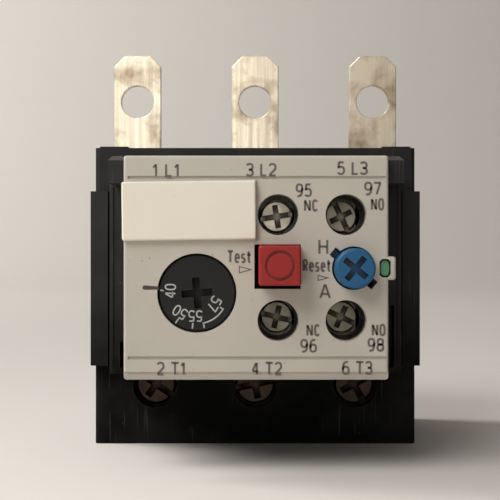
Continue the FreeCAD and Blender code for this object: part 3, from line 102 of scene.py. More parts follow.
class RelayPrint(bpy.types.PropertyGroup):
    ink: colour("Ink", "Colour of the marks on the front plate", 92, 87, 81)
    pointer: colour("Pointer", "Colour of the pointer beside the dial", 58, 45, 40)
    dial_ink: colour("Dial ink", "Colour of the dial's scale", 164, 167, 164)
    number_height: length("Number height", "Height of the terminal numbers", 2.95 * MM)
    word_height: length("Word height", "Height of the words beside the buttons", 2.8 * MM)
    letter_height: length("Contact letter height", "Height of the contact letters", 2.7 * MM)
    mode_height: length("Mode letter height", "Height of the two reset letters", 3.4 * MM)
    dial_height: length("Dial number height", "Height of the dial's numbers", 2.45 * MM)
    weight: length("Stroke", "Width of the strokes on the front plate", 0.48 * MM)
    dial_weight: length("Dial stroke", "Width of the strokes on the dial", 0.3 * MM)
    lift: length("Ink lift", "Ink above the surface that carries it", 0.03 * MM)


class RelayStage(bpy.types.PropertyGroup):
    floor: colour("Floor", "Colour of the floor and backdrop", 226, 221, 215)
    shade: colour("Far side", "Colour of the surroundings away from the window", 92, 88, 82)
    distance: length("Camera distance", "Camera to the front plate", 250.0 * MM)
    view_width: length("View width", "Width seen at the front plate", 106.4 * MM)
    key_power: bpy.props.FloatProperty(
        name="Key light", description="Power of the light at the upper left", default=1.5, unit="POWER")
    fill_power: bpy.props.FloatProperty(
        name="Fill light", description="Power of the broad light in front", default=0.72, unit="POWER")
    back_power: bpy.props.FloatProperty(
        name="Backdrop light", description="Power of the light on the backdrop", default=26.0, unit="POWER")
    sky: bpy.props.FloatProperty(
        name="Sky", description="Strength of the even light from all round", default=0.22, min=0.0)


# ------------------------------------------------------------------ node helpers

class Tree:
    """Short forms for adding and linking shader nodes."""

    def __init__(self, tree):
        self.tree = tree

    def node(self, kind, **settings):
        node = self.tree.nodes.new(kind)
        for key, setting in settings.items():
            setattr(node, key, setting)
        return node

    def link(self, source, target):
        self.tree.links.new(source, target)

    def maths(self, operation, first, second=None, clamp=False):
        """A Math node; each input is a socket or a number."""
        node = self.node("ShaderNodeMath", operation=operation, use_clamp=clamp)
        self.feed(node.inputs[0], first)
        if second is not None:
            self.feed(node.inputs[1], second)
        return node.outputs[0]

    def feed(self, socket, value):
        if isinstance(value, bpy.types.NodeSocket):
            self.link(value, socket)
        else:
            socket.default_value = value

    def mix(self, factor, first, second):
        """A colour between two colours."""
        node = self.node("ShaderNodeMix", data_type="RGBA")
        self.feed(node.inputs[0], factor)
        self.feed(node.inputs[6], first)
        self.feed(node.inputs[7], second)
        return node.outputs[2]

    def noise(self, vector, scale, detail=3.0, rough=0.55):
        node = self.node("ShaderNodeTexNoise")
        self.link(vector, node.inputs["Vector"])
        self.feed(node.inputs["Scale"], scale)
        node.inputs["Detail"].default_value = detail
        node.inputs["Roughness"].default_value = rough
        return node.outputs["Fac"]

    def span(self, value, low, high, new_low=0.0, new_high=1.0):
        """Stretch the part of a value from low to high over a new range."""
        node = self.node("ShaderNodeMapRange")
        for socket, part in zip(node.inputs, (value, low, high, new_low, new_high)):
            self.feed(socket, part)
        return node.outputs[0]

    def place(self, scale=(1.0, 1.0, 1.0)):
        """Object coordinates, stretched along each axis."""
        where = self.node("ShaderNodeTexCoord").outputs["Object"]
        mapping = self.node("ShaderNodeMapping")
        mapping.inputs["Scale"].default_value = scale
        self.link(where, mapping.inputs["Vector"])
        return mapping.outputs["Vector"]


def ramp_along(tree, axis, low, high, new_low=0.0, new_high=1.0):
    """A value that runs from new_low to new_high between two places along an axis."""
    parts = tree.node("ShaderNodeSeparateXYZ")
    tree.link(tree.place(), parts.inputs[0])
    return tree.span(parts.outputs[axis], low, high, new_low, new_high)


def stretched_place(tree, factors):
    """Object coordinates times a vector socket, to draw a pattern out along one axis."""
    drawn = tree.node("ShaderNodeVectorMath", operation="MULTIPLY")
    tree.link(tree.node("ShaderNodeTexCoord").outputs["Object"], drawn.inputs[0])
    tree.link(factors, drawn.inputs[1])
    return drawn.outputs[0]


def new_group(name, inputs, outputs):
    """A shader group with named sockets; returns its helper, input node and output node."""
    group = bpy.data.node_groups.new(name, "ShaderNodeTree")
    for label, kind, default in inputs:
        socket = group.interface.new_socket(label, in_out="INPUT", socket_type="NodeSocket" + kind)
        socket.default_value = default
    for label, kind in outputs:
        group.interface.new_socket(label, in_out="OUTPUT", socket_type="NodeSocket" + kind)
    tree = Tree(group)
    return tree, tree.node("NodeGroupInput"), tree.node("NodeGroupOutput")


WHITE = (1.0, 1.0, 1.0, 1.0)
# How much a pattern is squeezed along X, Y and Z: a small share draws it out along that axis
UPRIGHT = (1.0, 1.0, 0.04)
ROLLED = (1.0, 1.0, 0.03)
TURNED = (0.4, 0.4, 0.4)


def moulding_group():
    """Moulded plastic: cloudy tone, fine grain, rubbed patches and a few specks of dust."""
    if "Moulded Surface" in bpy.data.node_groups:
        return bpy.data.node_groups["Moulded Surface"]
    tree, given, result = new_group(
        "Moulded Surface",
        [("Colour", "Color", WHITE), ("Soil", "Color", WHITE), ("Speck", "Color", WHITE),
         ("Cloud", "Float", 0.3), ("Specks", "Float", 0.2), ("Roughness", "Float", 0.5),
         ("Grain", "Float", 0.5)],
        [("Colour", "Color"), ("Roughness", "Float"), ("Height", "Float")])
    where = tree.place()
    cloud = tree.noise(where, 45.0, 4.0, 0.6)
    soil = tree.maths("MULTIPLY", tree.span(cloud, 0.42, 0.75), given.outputs["Cloud"])
    body = tree.mix(soil, given.outputs["Colour"], given.outputs["Soil"])
    dust = tree.span(tree.noise(where, 900.0, 2.0, 0.5), 0.70, 0.76)
    sparse = tree.span(tree.noise(where, 120.0, 1.0, 0.5), 0.5, 0.62)
    speck = tree.maths("MULTIPLY", tree.maths("MULTIPLY", dust, sparse), given.outputs["Specks"])
    tree.link(tree.mix(speck, body, given.outputs["Speck"]), result.inputs["Colour"])
    grain = tree.noise(where, 3200.0, 2.0, 0.6)
    smear = tree.noise(where, 85.0, 5.0, 0.65)
    change = tree.span(smear, 0.3, 0.7, -0.09, 0.11)
    tree.link(tree.maths("ADD", given.outputs["Roughness"], change, True), result.inputs["Roughness"])
    swell = tree.maths("MULTIPLY", cloud, 0.8)
    height = tree.maths("ADD", tree.maths("MULTIPLY", grain, given.outputs["Grain"]), swell)
    tree.link(height, result.inputs["Height"])
    return tree.tree


def edge_group():
    """Rubbed edges: a mask where the surface turns sharply, broken up by noise."""
    if "Edge Wear" in bpy.data.node_groups:
        return bpy.data.node_groups["Edge Wear"]
    tree, given, result = new_group(
        "Edge Wear",
        [("Colour", "Color", WHITE), ("Worn", "Color", WHITE), ("Amount", "Float", 0.5),
         ("Radius", "Float", 0.3 * MM)],
        [("Colour", "Color"), ("Mask", "Float")])
    bevel = tree.node("ShaderNodeBevel", samples=4)
    tree.link(given.outputs["Radius"], bevel.inputs["Radius"])
    flat = tree.node("ShaderNodeNewGeometry").outputs["Normal"]
    dot = tree.node("ShaderNodeVectorMath", operation="DOT_PRODUCT")
    tree.link(bevel.outputs["Normal"], dot.inputs[0])
    tree.link(flat, dot.inputs[1])
    sharp = tree.span(dot.outputs["Value"], 0.995, 0.86)
    broken = tree.span(tree.noise(tree.place(), 260.0, 4.0, 0.6), 0.36, 0.66)
    mask = tree.maths("MULTIPLY", tree.maths("MULTIPLY", sharp, broken), given.outputs["Amount"], True)
    tree.link(tree.mix(mask, given.outputs["Colour"], given.outputs["Worn"]), result.inputs["Colour"])
    tree.link(mask, result.inputs["Mask"])
    return tree.tree


def metal_group():
    """Rolled and plated metal: streaks along one direction and blotches of tarnish."""
    if "Plated Metal" in bpy.data.node_groups:
        return bpy.data.node_groups["Plated Metal"]
    tree, given, result = new_group(
        "Plated Metal",
        [("Colour", "Color", WHITE), ("Tarnish", "Color", WHITE), ("Amount", "Float", 0.5),
         ("Roughness", "Float", 0.3), ("Along", "Vector", (1.0, 1.0, 1.0))],
        [("Colour", "Color"), ("Roughness", "Float"), ("Height", "Float")])
    streak = tree.noise(stretched_place(tree, given.outputs["Along"]), 900.0, 3.0, 0.6)
    blotch = tree.noise(tree.place(), 110.0, 4.0, 0.6)
    stain = tree.maths("MULTIPLY", tree.span(blotch, 0.45, 0.72), given.outputs["Amount"])
    lines = tree.maths("MULTIPLY", tree.span(streak, 0.35, 0.75), 0.35)
    stain = tree.maths("ADD", stain, tree.maths("MULTIPLY", lines, given.outputs["Amount"]), True)
    tree.link(tree.mix(stain, given.outputs["Colour"], given.outputs["Tarnish"]), result.inputs["Colour"])
    rough = tree.maths("ADD", given.outputs["Roughness"], tree.span(streak, 0.2, 0.8, -0.06, 0.12))
    rough = tree.maths("ADD", rough, tree.maths("MULTIPLY", stain, 0.15), True)
    tree.link(rough, result.inputs["Roughness"])
    tree.link(streak, result.inputs["Height"])
    return tree.tree


def recess_group():
    """Dirt and painted shade in recesses: a colour darkened by a mask of how closed in a point is."""
    if "Recess Dirt" in bpy.data.node_groups:
        return bpy.data.node_groups["Recess Dirt"]
    tree, given, result = new_group(
        "Recess Dirt",
        [("Colour", "Color", WHITE), ("Dirt", "Color", WHITE), ("Amount", "Float", 0.8),
         ("Reach", "Float", 1.0 * MM), ("Open", "Float", 0.75), ("Closed", "Float", 0.35)],
        [("Colour", "Color"), ("Mask", "Float")])
    closed = tree.node("ShaderNodeAmbientOcclusion", samples=6, only_local=True)
    tree.link(given.outputs["Reach"], closed.inputs["Distance"])
    uneven = tree.span(tree.noise(tree.place(), 420.0, 3.0, 0.6), 0.3, 0.7, -0.06, 0.06)
    shade = tree.maths("ADD", closed.outputs["AO"], uneven)
    deep = tree.span(shade, given.outputs["Open"], given.outputs["Closed"])
    mask = tree.maths("MULTIPLY", deep, given.outputs["Amount"], True)
    tree.link(tree.mix(mask, given.outputs["Colour"], given.outputs["Dirt"]), result.inputs["Colour"])
    tree.link(mask, result.inputs["Mask"])
    return tree.tree


def scratch_group():
    """Fine scratches: a noise drawn out along one direction, cut to thin lines and broken up."""
    if "Fine Scratches" in bpy.data.node_groups:
        return bpy.data.node_groups["Fine Scratches"]
    tree, given, result = new_group(
        "Fine Scratches",
        [("Colour", "Color", WHITE), ("Scratch", "Color", WHITE), ("Amount", "Float", 0.3),
         ("Along", "Vector", (1.0, 1.0, 1.0))],
        [("Colour", "Color"), ("Mask", "Float")])
    thin = tree.noise(stretched_place(tree, given.outputs["Along"]), 1500.0, 2.0, 0.5)
    line = tree.span(thin, 0.60, 0.68)
    patch = tree.span(tree.noise(tree.place(), 75.0, 3.0, 0.6), 0.48, 0.66)
    mask = tree.maths("MULTIPLY", tree.maths("MULTIPLY", line, patch), given.outputs["Amount"], True)
    tree.link(tree.mix(mask, given.outputs["Colour"], given.outputs["Scratch"]), result.inputs["Colour"])
    tree.link(mask, result.inputs["Mask"])
    return tree.tree


def start_material(name):
    """An empty material with its shader linked to the output."""
    material = bpy.data.materials.new(name)
    material.use_nodes = True
    tree = Tree(material.node_tree)
    tree.tree.nodes.clear()
    shader = tree.node("ShaderNodeBsdfPrincipled")
    output = tree.node("ShaderNodeOutputMaterial")
    tree.link(shader.outputs[0], output.inputs["Surface"])
    return material, tree, shader


def add_group(tree, group, **values):
    node = tree.node("ShaderNodeGroup", node_tree=group)
    for label, value in values.items():
        tree.feed(node.inputs[label], value)
    return node


def add_bump(tree, shader, height, distance, strength=1.0):
    bump = tree.node("ShaderNodeBump")
    bump.inputs["Strength"].default_value = strength
    bump.inputs["Distance"].default_value = distance
    tree.link(height, bump.inputs["Height"])
    tree.link(bump.outputs["Normal"], shader.inputs["Normal"])
    return bump


def moulded(name, tone, soil, speck, cloud=0.3, specks=0.2, roughness=0.5, grain=0.5,
            worn=None, wear=0.0, level=0.4, dirt_and_shade=None, reach=2.0 * MM, depth=None, scratch=0.0,
            painted_sheen=None):
    """Plastic out of a mould, with its own tone, soiling, specks, recesses darkened with dirt and painted
    shade, upright scratches and rubbed edges. Where depth gives two places along Y, the darkening starts
    between them. Where a sheen gives two heights, a thin coat grows between them up to its weight,
    a painted sheen that leaves the lower part looking shaded."""
    look = bpy.context.scene.relay_mouldings
    material, tree, shader = start_material(name)
    surface = add_group(tree, moulding_group(), Colour=tone, Soil=soil, Speck=speck,
                        Cloud=cloud, Specks=specks, Roughness=roughness, Grain=grain)
    tint = surface.outputs["Colour"]
    if scratch:
        fine = add_group(tree, scratch_group(), Colour=tint, Scratch=worn, Amount=scratch,
                         Along=UPRIGHT)
        tint = fine.outputs["Colour"]
    if wear:
        edge = add_group(tree, edge_group(), Colour=tint, Worn=worn, Amount=wear, Radius=look.wear_radius)
        tint = edge.outputs["Colour"]
    if dirt_and_shade:
        amount = ramp_along(tree, "Y", *depth) if depth else 0.95
        deep = add_group(tree, recess_group(), Colour=tint, Dirt=dirt_and_shade, Amount=amount, Reach=reach)
        tint = deep.outputs["Colour"]
    tree.link(tint, shader.inputs["Base Color"])
    tree.link(surface.outputs["Roughness"], shader.inputs["Roughness"])
    shader.inputs["Specular IOR Level"].default_value = level
    if painted_sheen:
        low, high, weight = painted_sheen
        tree.link(ramp_along(tree, "Z", low, high, 0.0, weight), shader.inputs["Coat Weight"])
        shader.inputs["Coat Roughness"].default_value = roughness
    add_bump(tree, shader, surface.outputs["Height"], look.grain_height)
    return material


def plated(name, tone, tarnish, amount=0.4, roughness=0.3, along=ROLLED, relief=0.008 * MM,
           dirt_and_shade=None, rounding=0.0):
    """Rolled, plated metal with streaks along its length, recesses darkened with painted shade and rounded
    edges.
    """
    material, tree, shader = start_material(name)
    surface = add_group(tree, metal_group(), Colour=tone, Tarnish=tarnish, Amount=amount,
                        Roughness=roughness, Along=along)
    tint = surface.outputs["Colour"]
    if dirt_and_shade:
        deep = add_group(tree, recess_group(), Colour=tint, Dirt=dirt_and_shade, Amount=0.97,
                         Reach=1.6 * MM, Open=0.92, Closed=0.60)
        tint = deep.outputs["Colour"]
    tree.link(tint, shader.inputs["Base Color"])
    tree.link(surface.outputs["Roughness"], shader.inputs["Roughness"])
    shader.inputs["Metallic"].default_value = 1.0
    bump = add_bump(tree, shader, surface.outputs["Height"], relief)
    if rounding:
        edge = tree.node("ShaderNodeBevel", samples=4)
        edge.inputs["Radius"].default_value = rounding
        tree.link(edge.outputs["Normal"], bump.inputs["Normal"])
    return material


def ink(name, tone, roughness=0.6):
    """Printed ink, a little uneven where it is thin."""
    material, tree, shader = start_material(name)
    thin = tree.span(tree.noise(tree.place(), 1400.0, 3.0, 0.6), 0.35, 0.75, 0.0, 0.35)
    faded = tuple(min(1.0, part * 1.7 + 0.02) for part in tone[:3]) + (1.0,)
    tree.link(tree.mix(thin, tone, faded), shader.inputs["Base Color"])
    rough = tree.span(tree.noise(tree.place(), 700.0), 0.3, 0.7, roughness - 0.08, roughness + 0.08)
    tree.link(rough, shader.inputs["Roughness"])
    return material


def darker(tone, share):
    return tuple(part * share for part in tone[:3]) + (1.0,)


def lighter(tone, share):
    return tuple(part + (1.0 - part) * share for part in tone[:3]) + (1.0,)


def dress(material, *nodes):
    """Give CAD nodes their finish."""
    for name in nodes:
        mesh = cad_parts[name].data
        mesh.materials.clear()
        mesh.materials.append(material)


# ------------------------------------------------------------------ lettering

def bow(middle, reach, start, end, steps=16):
    """Part of a squarish oval: the cosine and sine of each angle, raised to the power 0.82 with
    their signs kept, times the reach, from the middle."""
    angles = np.radians(np.linspace(start, end, steps))
    around = np.stack((np.cos(angles), np.sin(angles)), axis=1)
    return np.asarray(middle) + np.asarray(reach) * np.sign(around) * np.abs(around) ** 0.82


def joined(*parts):
    """One path out of several lists of points."""
    return np.concatenate([np.asarray(part, dtype=float).reshape(-1, 2) for part in parts])


SIX_STEM = bow((0.62, 0.36), (0.62, 0.64), 182, 72)
# Each sign: its width, then its strokes, which fill a square from (0, 0) to (1, 1)
SIGNS = {
    "0": (0.57, bow((0.5, 0.5), (0.5, 0.5), 90, 450, 30)),
    "1": (0.40, [(0.0, 0.72), (0.66, 0.98)], [(0.72, 1.0), (0.72, 0.0)]),
    "2": (0.60, joined(bow((0.5, 0.71), (0.48, 0.29), 160, -28), [(0.04, 0.04)]), [(0.0, 0.0), (1.0, 0.0)]),
    "3": (0.56, bow((0.46, 0.75), (0.5, 0.25), 155, -90), bow((0.46, 0.25), (0.54, 0.25), 90, -155),
          [(0.28, 0.5), (0.5, 0.5)]),
    "4": (0.60, [(0.66, 0.98), (0.0, 0.3)], [(0.0, 0.26), (1.0, 0.26)], [(0.74, 1.0), (0.74, 0.0)]),
    "5": (0.57, [(0.14, 1.0), (0.95, 1.0)], [(0.14, 1.0), (0.08, 0.5)],
          bow((0.47, 0.31), (0.53, 0.31), 140, -150, 22)),
    "6": (0.58, bow((0.5, 0.3), (0.5, 0.3), 90, 450, 28), SIX_STEM),
    "7": (0.54, [(-0.1, 1.0), (1.1, 1.0)], [(1.0, 0.98), (0.36, 0.0)]),
    "8": (0.58, bow((0.5, 0.76), (0.44, 0.24), 90, 450, 26), bow((0.5, 0.27), (0.5, 0.27), 90, 450, 26)),
    "9": (0.58, bow((0.5, 0.7), (0.5, 0.3), 90, 450, 28), 1.0 - SIX_STEM),
    "A": (0.60, [(0.0, 0.0), (0.48, 0.98)], [(0.52, 0.98), (1.0, 0.0)], [(0.16, 0.28), (0.84, 0.28)]),
    "C": (0.54, bow((0.5, 0.5), (0.5, 0.5), 38, 322, 28)),
    "H": (0.56, [(0.0, 0.0), (0.0, 1.0)], [(1.0, 0.0), (1.0, 1.0)], [(0.0, 0.52), (1.0, 0.52)]),
    "L": (0.50, [(0.0, 1.0), (0.0, 0.0), (1.0, 0.0)]),
    "N": (0.60, [(0.0, 0.0), (0.0, 1.0)], [(0.04, 0.96), (0.96, 0.04)], [(1.0, 0.0), (1.0, 1.0)]),
    "O": (0.58, bow((0.5, 0.5), (0.5, 0.5), 90, 450, 30)),
    "R": (0.54, [(0.0, 0.0), (0.0, 1.0)],
          joined([(0.0, 1.0), (0.5, 1.0)], bow((0.5, 0.75), (0.46, 0.25), 80, -80), [(0.5, 0.5), (0.0, 0.5)]),
          [(0.5, 0.5), (0.96, 0.0)]),
    "T": (0.60, [(-0.12, 1.0), (1.12, 1.0)], [(0.5, 1.0), (0.5, 0.0)]),
    "e": (0.52, joined([(0.04, 0.38), (1.0, 0.38)], bow((0.5, 0.36), (0.5, 0.36), 12, 318, 26))),
    "s": (0.47, joined(bow((0.5, 0.54), (0.46, 0.18), 32, 262), bow((0.5, 0.18), (0.48, 0.18), 82, -152))),
    "t": (0.46, joined([(0.36, 0.98), (0.36, 0.2)], bow((0.95, 0.2), (0.59, 0.2), 190, 268, 8)),
          [(-0.25, 0.68), (1.1, 0.68)]),
}
# The space between two signs, and the space on each side of a blank, in the unit of their widths
SIGN_GAP = 0.075
WORD_GAP = 0.22


class Marks:
    """A sheet of flat ink shapes that face the front, gathered into one mesh."""

    def __init__(self, y, weight):
        self.y = y
        self.weight = weight
        self.points = []
        self.faces = []
        self.count = 0

    def ribbon(self, path, weight=None):
        """A band of ink along a path: each point moves half the weight to both sides, along the
        sum of the two neighbouring runs' normals over one plus their product, as in a mitre."""
        path = np.asarray(path, dtype=float)
        half = (self.weight if weight is None else np.asarray(weight)) / 2
        run = np.diff(path, axis=0)
        run /= np.linalg.norm(run, axis=1)[:, None]
        before = np.concatenate((run[:1], run))
        after = np.concatenate((run, run[-1:]))
        share = 1.0 + (before * after).sum(axis=1)
        turned = np.stack((-(before + after)[:, 1], (before + after)[:, 0]), axis=1)
        across = turned / np.maximum(share, 0.5)[:, None] * np.broadcast_to(half, len(path))[:, None]
        self.keep(np.concatenate((path - across, path + across)), len(path))

    def keep(self, grid, length):
        """Keep two rows of points and the faces between them."""
        step = np.arange(length - 1)
        faces = np.stack((step, step + 1, length + step + 1, length + step), axis=1) + self.count
        self.points.append(grid)
        self.faces.append(faces)
        self.count += len(grid)

    def outline(self, corners, weight):
        """A closed triangle drawn with a line: its corners and the same corners moved inwards."""
        corners = np.asarray(corners, dtype=float)
        sides = np.linalg.norm(np.roll(corners, -1, axis=0) - np.roll(corners, -2, axis=0), axis=1)
        middle = (corners * sides[:, None]).sum(axis=0) / sides.sum()
        area = abs(np.cross(corners[1] - corners[0], corners[2] - corners[0])) / 2
        share = 1.0 - weight / (2 * area / sides.sum())
        ring = np.concatenate((corners, corners[:1]))
        self.keep(np.concatenate((ring, middle + (ring - middle) * share)), 4)

    def write(self, text, middle, width, height, turn=0.0):
        """Write a word that is as wide and high as asked, round its middle, turned anticlockwise.
        Each sign's square is stretched to its cell, less the weight of a stroke."""
        gaps = [WORD_GAP if " " in pair else SIGN_GAP for pair in zip(text, text[1:])]
        natural = sum(SIGNS[sign][0] for sign in text if sign != " ") + sum(gaps)
        scale = width / natural
        angle = math.radians(turn)
        spin = np.array([[math.cos(angle), math.sin(angle)], [-math.sin(angle), math.cos(angle)]])
        left = -width / 2
        for sign, gap in zip(text, gaps + [0.0]):
            if sign != " ":
                cell = np.array([SIGNS[sign][0] * scale, height])
                corner = np.array([left, -height / 2]) + self.weight / 2
                for stroke in SIGNS[sign][1:]:
                    self.ribbon((corner + np.asarray(stroke) * (cell - self.weight)) @ spin + middle)
                left += cell[0]
            left += gap * scale

    def finish(self, name, material, body):
        """Make the mesh; it rides on one body."""
        flat = np.concatenate(self.points)
        points = np.column_stack((flat[:, 0], np.full(len(flat), self.y), flat[:, 1]))
        mesh = bpy.data.meshes.new(name)
        mesh.from_pydata(points.tolist(), [], np.concatenate(self.faces).tolist())
        turn_to_front(mesh)
        mesh.materials.append(material)
        piece = bpy.data.objects.new(name, mesh)
        bpy.context.collection.objects.link(piece)
        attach(piece, body)


def turn_to_front(mesh):
    """Flip the faces that look to the back."""
    mesh.update()
    wrong = [face.index for face in mesh.polygons if face.normal.y > 0]
    for index in wrong:
        mesh.polygons[index].flip()
    mesh.update()


def spoke(centre, angle, near, far):
    """Two points on a ray from the centre at an angle in degrees."""
    way = np.array([math.cos(math.radians(angle)), math.sin(math.radians(angle))])
    return [centre + way * near, centre + way * far]


def arc(centre, radius, start, end, steps=24):
    """Points round a centre from one angle in degrees to another."""
    angles = np.radians(np.linspace(start, end, steps))
    return centre + radius * np.stack((np.cos(angles), np.sin(angles)), axis=1)


def middle_of(node):
    """The middle of a node's box, as (x, z)."""
    low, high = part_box(node)
    return np.array([(low.x + high.x) / 2, (low.z + high.z) / 2])


# ------------------------------------------------------------------ operators

class RELAY_OT_finish_housings(bpy.types.Operator):
    """Give the black mouldings their finish"""
    bl_idname = "relay.finish_housings"
    bl_label = "Finish housings"

    def execute(self, context):
        look = context.scene.relay_mouldings
        low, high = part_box("front_housing")
        # Painted sheen: the mouldings get shinier from this height up, so their lower part looks shaded
        painted_sheen = (low.z, low.z + 20.0 * MM, 0.5)
        black = moulded("black moulding", look.housing, lighter(look.housing, 0.02), look.scuff,
                        cloud=0.8, specks=0.5, roughness=0.5, grain=0.35, worn=look.scuff, wear=0.4,
                        level=0.02, scratch=0.45, painted_sheen=painted_sheen)
        dress(black, "base_housing", "front_housing", "rear_cover")
        return {"FINISHED"}


class RELAY_OT_finish_front(bpy.types.Operator):
    """Give the front plate and the marking tag their finish"""
    bl_idname = "relay.finish_front"
    bl_label = "Finish front"

    def execute(self, context):
        look = context.scene.relay_mouldings
        low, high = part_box("front_plate")
        # Painted shade: the screw wells are darkened to black below their light rims
        rims = (low.y + 1.8 * MM, low.y + 3.0 * MM)
        plate = moulded("grey moulding", look.plate, darker(look.plate, 0.86), darker(look.plate, 0.3),
                        cloud=0.5, specks=0.6, roughness=0.5, grain=0.45, worn=lighter(look.plate, 0.25),
                        wear=0.45, level=0.3, dirt_and_shade=look.housing, reach=11.0 * MM, depth=rims)
        tag = moulded("tag moulding", look.tag, darker(look.tag, 0.93), darker(look.tag, 0.4), cloud=0.4,
                      specks=0.15, roughness=0.55, grain=0.4, worn=lighter(look.tag, 0.4), wear=0.3)
        dress(plate, "front_plate")
        dress(tag, "marking_tag")
        return {"FINISHED"}


class RELAY_OT_finish_controls(bpy.types.Operator):
    """Give the dial, the buttons and the indicator their finish"""
    bl_idname = "relay.finish_controls"
    bl_label = "Finish controls"

    def execute(self, context):
        look = context.scene.relay_mouldings
        plain = {"cloud": 0.35, "specks": 0.25, "grain": 0.25}
        # The dial's slot and the buttons' grooves are darkened with painted shade where they are closed in
        dial = moulded("dial moulding", look.dial, lighter(look.dial, 0.02), look.scuff, roughness=0.52,
                       worn=look.scuff, wear=0.3, level=0.25, dirt_and_shade=darker(look.dial, 0.3), **plain)
        red = moulded("red moulding", look.test, darker(look.test, 0.8), lighter(look.test, 0.4),
                      roughness=0.38, worn=lighter(look.test, 0.12), wear=0.5,
                      dirt_and_shade=darker(look.test, 0.35), reach=0.7 * MM, **plain)
        blue = moulded("blue moulding", look.reset, darker(look.reset, 0.75), lighter(look.reset, 0.4),
                       roughness=0.4, worn=lighter(look.reset, 0.15), wear=0.5,
                       dirt_and_shade=darker(look.reset, 0.25), **plain)
        green = moulded("green moulding", look.indicator, darker(look.indicator, 0.8),
                        lighter(look.indicator, 0.4), roughness=0.4, **plain)
        dress(dial, "setting_dial")
        dress(red, "test_button")
        dress(blue, "reset_button")
        dress(green, "trip_indicator")
        return {"FINISHED"}


class RELAY_OT_finish_metals(bpy.types.Operator):
    """Give the lugs, bars, clamps and screws their finish"""
    bl_idname = "relay.finish_metals"
    bl_label = "Finish metals"

    def execute(self, context):
        look = context.scene.relay_metals
        lug = plated("tinned lug", look.plating, look.tarnish, amount=0.9, roughness=0.2,
                     rounding=0.45 * MM)
        bar = plated("tinned bar", look.plating, look.tarnish, amount=0.6, roughness=0.34)
        # The screws' slots and recesses are darkened with painted shade
        screws = {"along": TURNED, "relief": 0.015 * MM, "rounding": 0.12 * MM}
        bright = plated("bright zinc", look.screw, look.screw_shade, amount=0.5, roughness=0.28,
                        dirt_and_shade=darker(look.screw_shade, 0.12), **screws)
        # Screws 96 to 98 and the washers: the same zinc made darker, a painted shade
        zinc = plated("zinc with painted shade", darker(look.screw, 0.55), look.screw_shade, amount=0.8, roughness=0.34,
                      dirt_and_shade=darker(look.screw_shade, 0.1), **screws)
        # Load screws and clamps: dark steel, darkened further with painted shade
        load = plated("dark steel with painted shade", look.load_screw, darker(look.load_screw, 0.4), amount=0.8,
                      roughness=0.3, dirt_and_shade=darker(look.load_screw, 0.1), **screws)
        heater = plated("resistance strip", look.heater, darker(look.heater, 0.5), amount=0.7,
                        roughness=0.4)
        strip = plated("bimetal", look.bimetal, darker(look.bimetal, 0.6), amount=0.5, roughness=0.36)
        dress(lug, *["line_lug_" + side for side in SIDES])
        dress(bar, *["load_terminal_" + side for side in SIDES],
              *["auxiliary_bar_" + number for number in AUXILIARY], "opening_bridge", "closing_bridge")
        dress(bright, "auxiliary_screw_95", "rear_cover_screws", "rocker_pin", "trip_lever_pin",
              "test_spring", "reset_spring")
        dress(zinc, *["auxiliary_screw_" + number for number in AUXILIARY[1:]],
              *["clamp_washer_" + number for number in AUXILIARY])
        dress(load, *["load_screw_" + side for side in SIDES], *["load_clamp_" + side for side in SIDES])
        dress(heater, *["heater_strip_" + side for side in SIDES])
        dress(strip, *["bimetal_strip_" + side for side in SIDES], "compensation_strip")
        return {"FINISHED"}


class RELAY_OT_finish_mechanism(bpy.types.Operator):
    """Give the mouldings of the inner mechanism their finish"""
    bl_idname = "relay.finish_mechanism"
    bl_label = "Finish mechanism"

    def execute(self, context):
        look = context.scene.relay_mouldings
        inner = moulded("natural moulding", look.inner, darker(look.inner, 0.85), darker(look.inner, 0.5),
                        roughness=0.5, worn=lighter(look.inner, 0.3), wear=0.3)
        dress(inner, "dial_spindle", "adjusting_slide", "trip_lever", "trip_rocker", "contact_carrier",
              "reset_plunger", "trip_slider")
        return {"FINISHED"}


# Each word: its left and right ends and the height of its middle, in mm from the plate's lower
# left corner
TERMINAL_WORDS = (("1 L1", 6.1, 12.0, 44.65), ("3 L2", 26.05, 32.6, 44.75), ("5 L3", 45.4, 52.0, 45.1),
                  ("2 T1", 7.0, 13.25, 2.45), ("4 T2", 27.2, 33.8, 2.45), ("6 T3", 46.45, 53.0, 2.6),
                  ("95", 36.6, 40.1, 40.4), ("97", 51.2, 54.85, 40.75), ("96", 37.6, 41.2, 7.3),
                  ("98", 51.9, 55.5, 7.5))
CONTACT_WORDS = (("NC", 38.4, 41.45, 37.15), ("NO", 52.6, 55.5, 37.4), ("NC", 38.9, 41.85, 10.6),
                 ("NO", 52.8, 55.8, 10.65))
BUTTON_WORDS = (("Test", 22.05, 27.25, 26.25), ("Reset", 38.1, 44.2, 24.4))
MODE_LETTERS = (("H", 41.45, 43.6, 28.35), ("A", 41.65, 44.15, 18.95))
# Each arrow: its back, its tip, its height and half its width, from the same corner
ARROWS = ((24.54, 27.5, 23.5, 0.83), (41.3, 43.9, 21.75, 0.68))
ARROW_LINE = 0.22 * MM


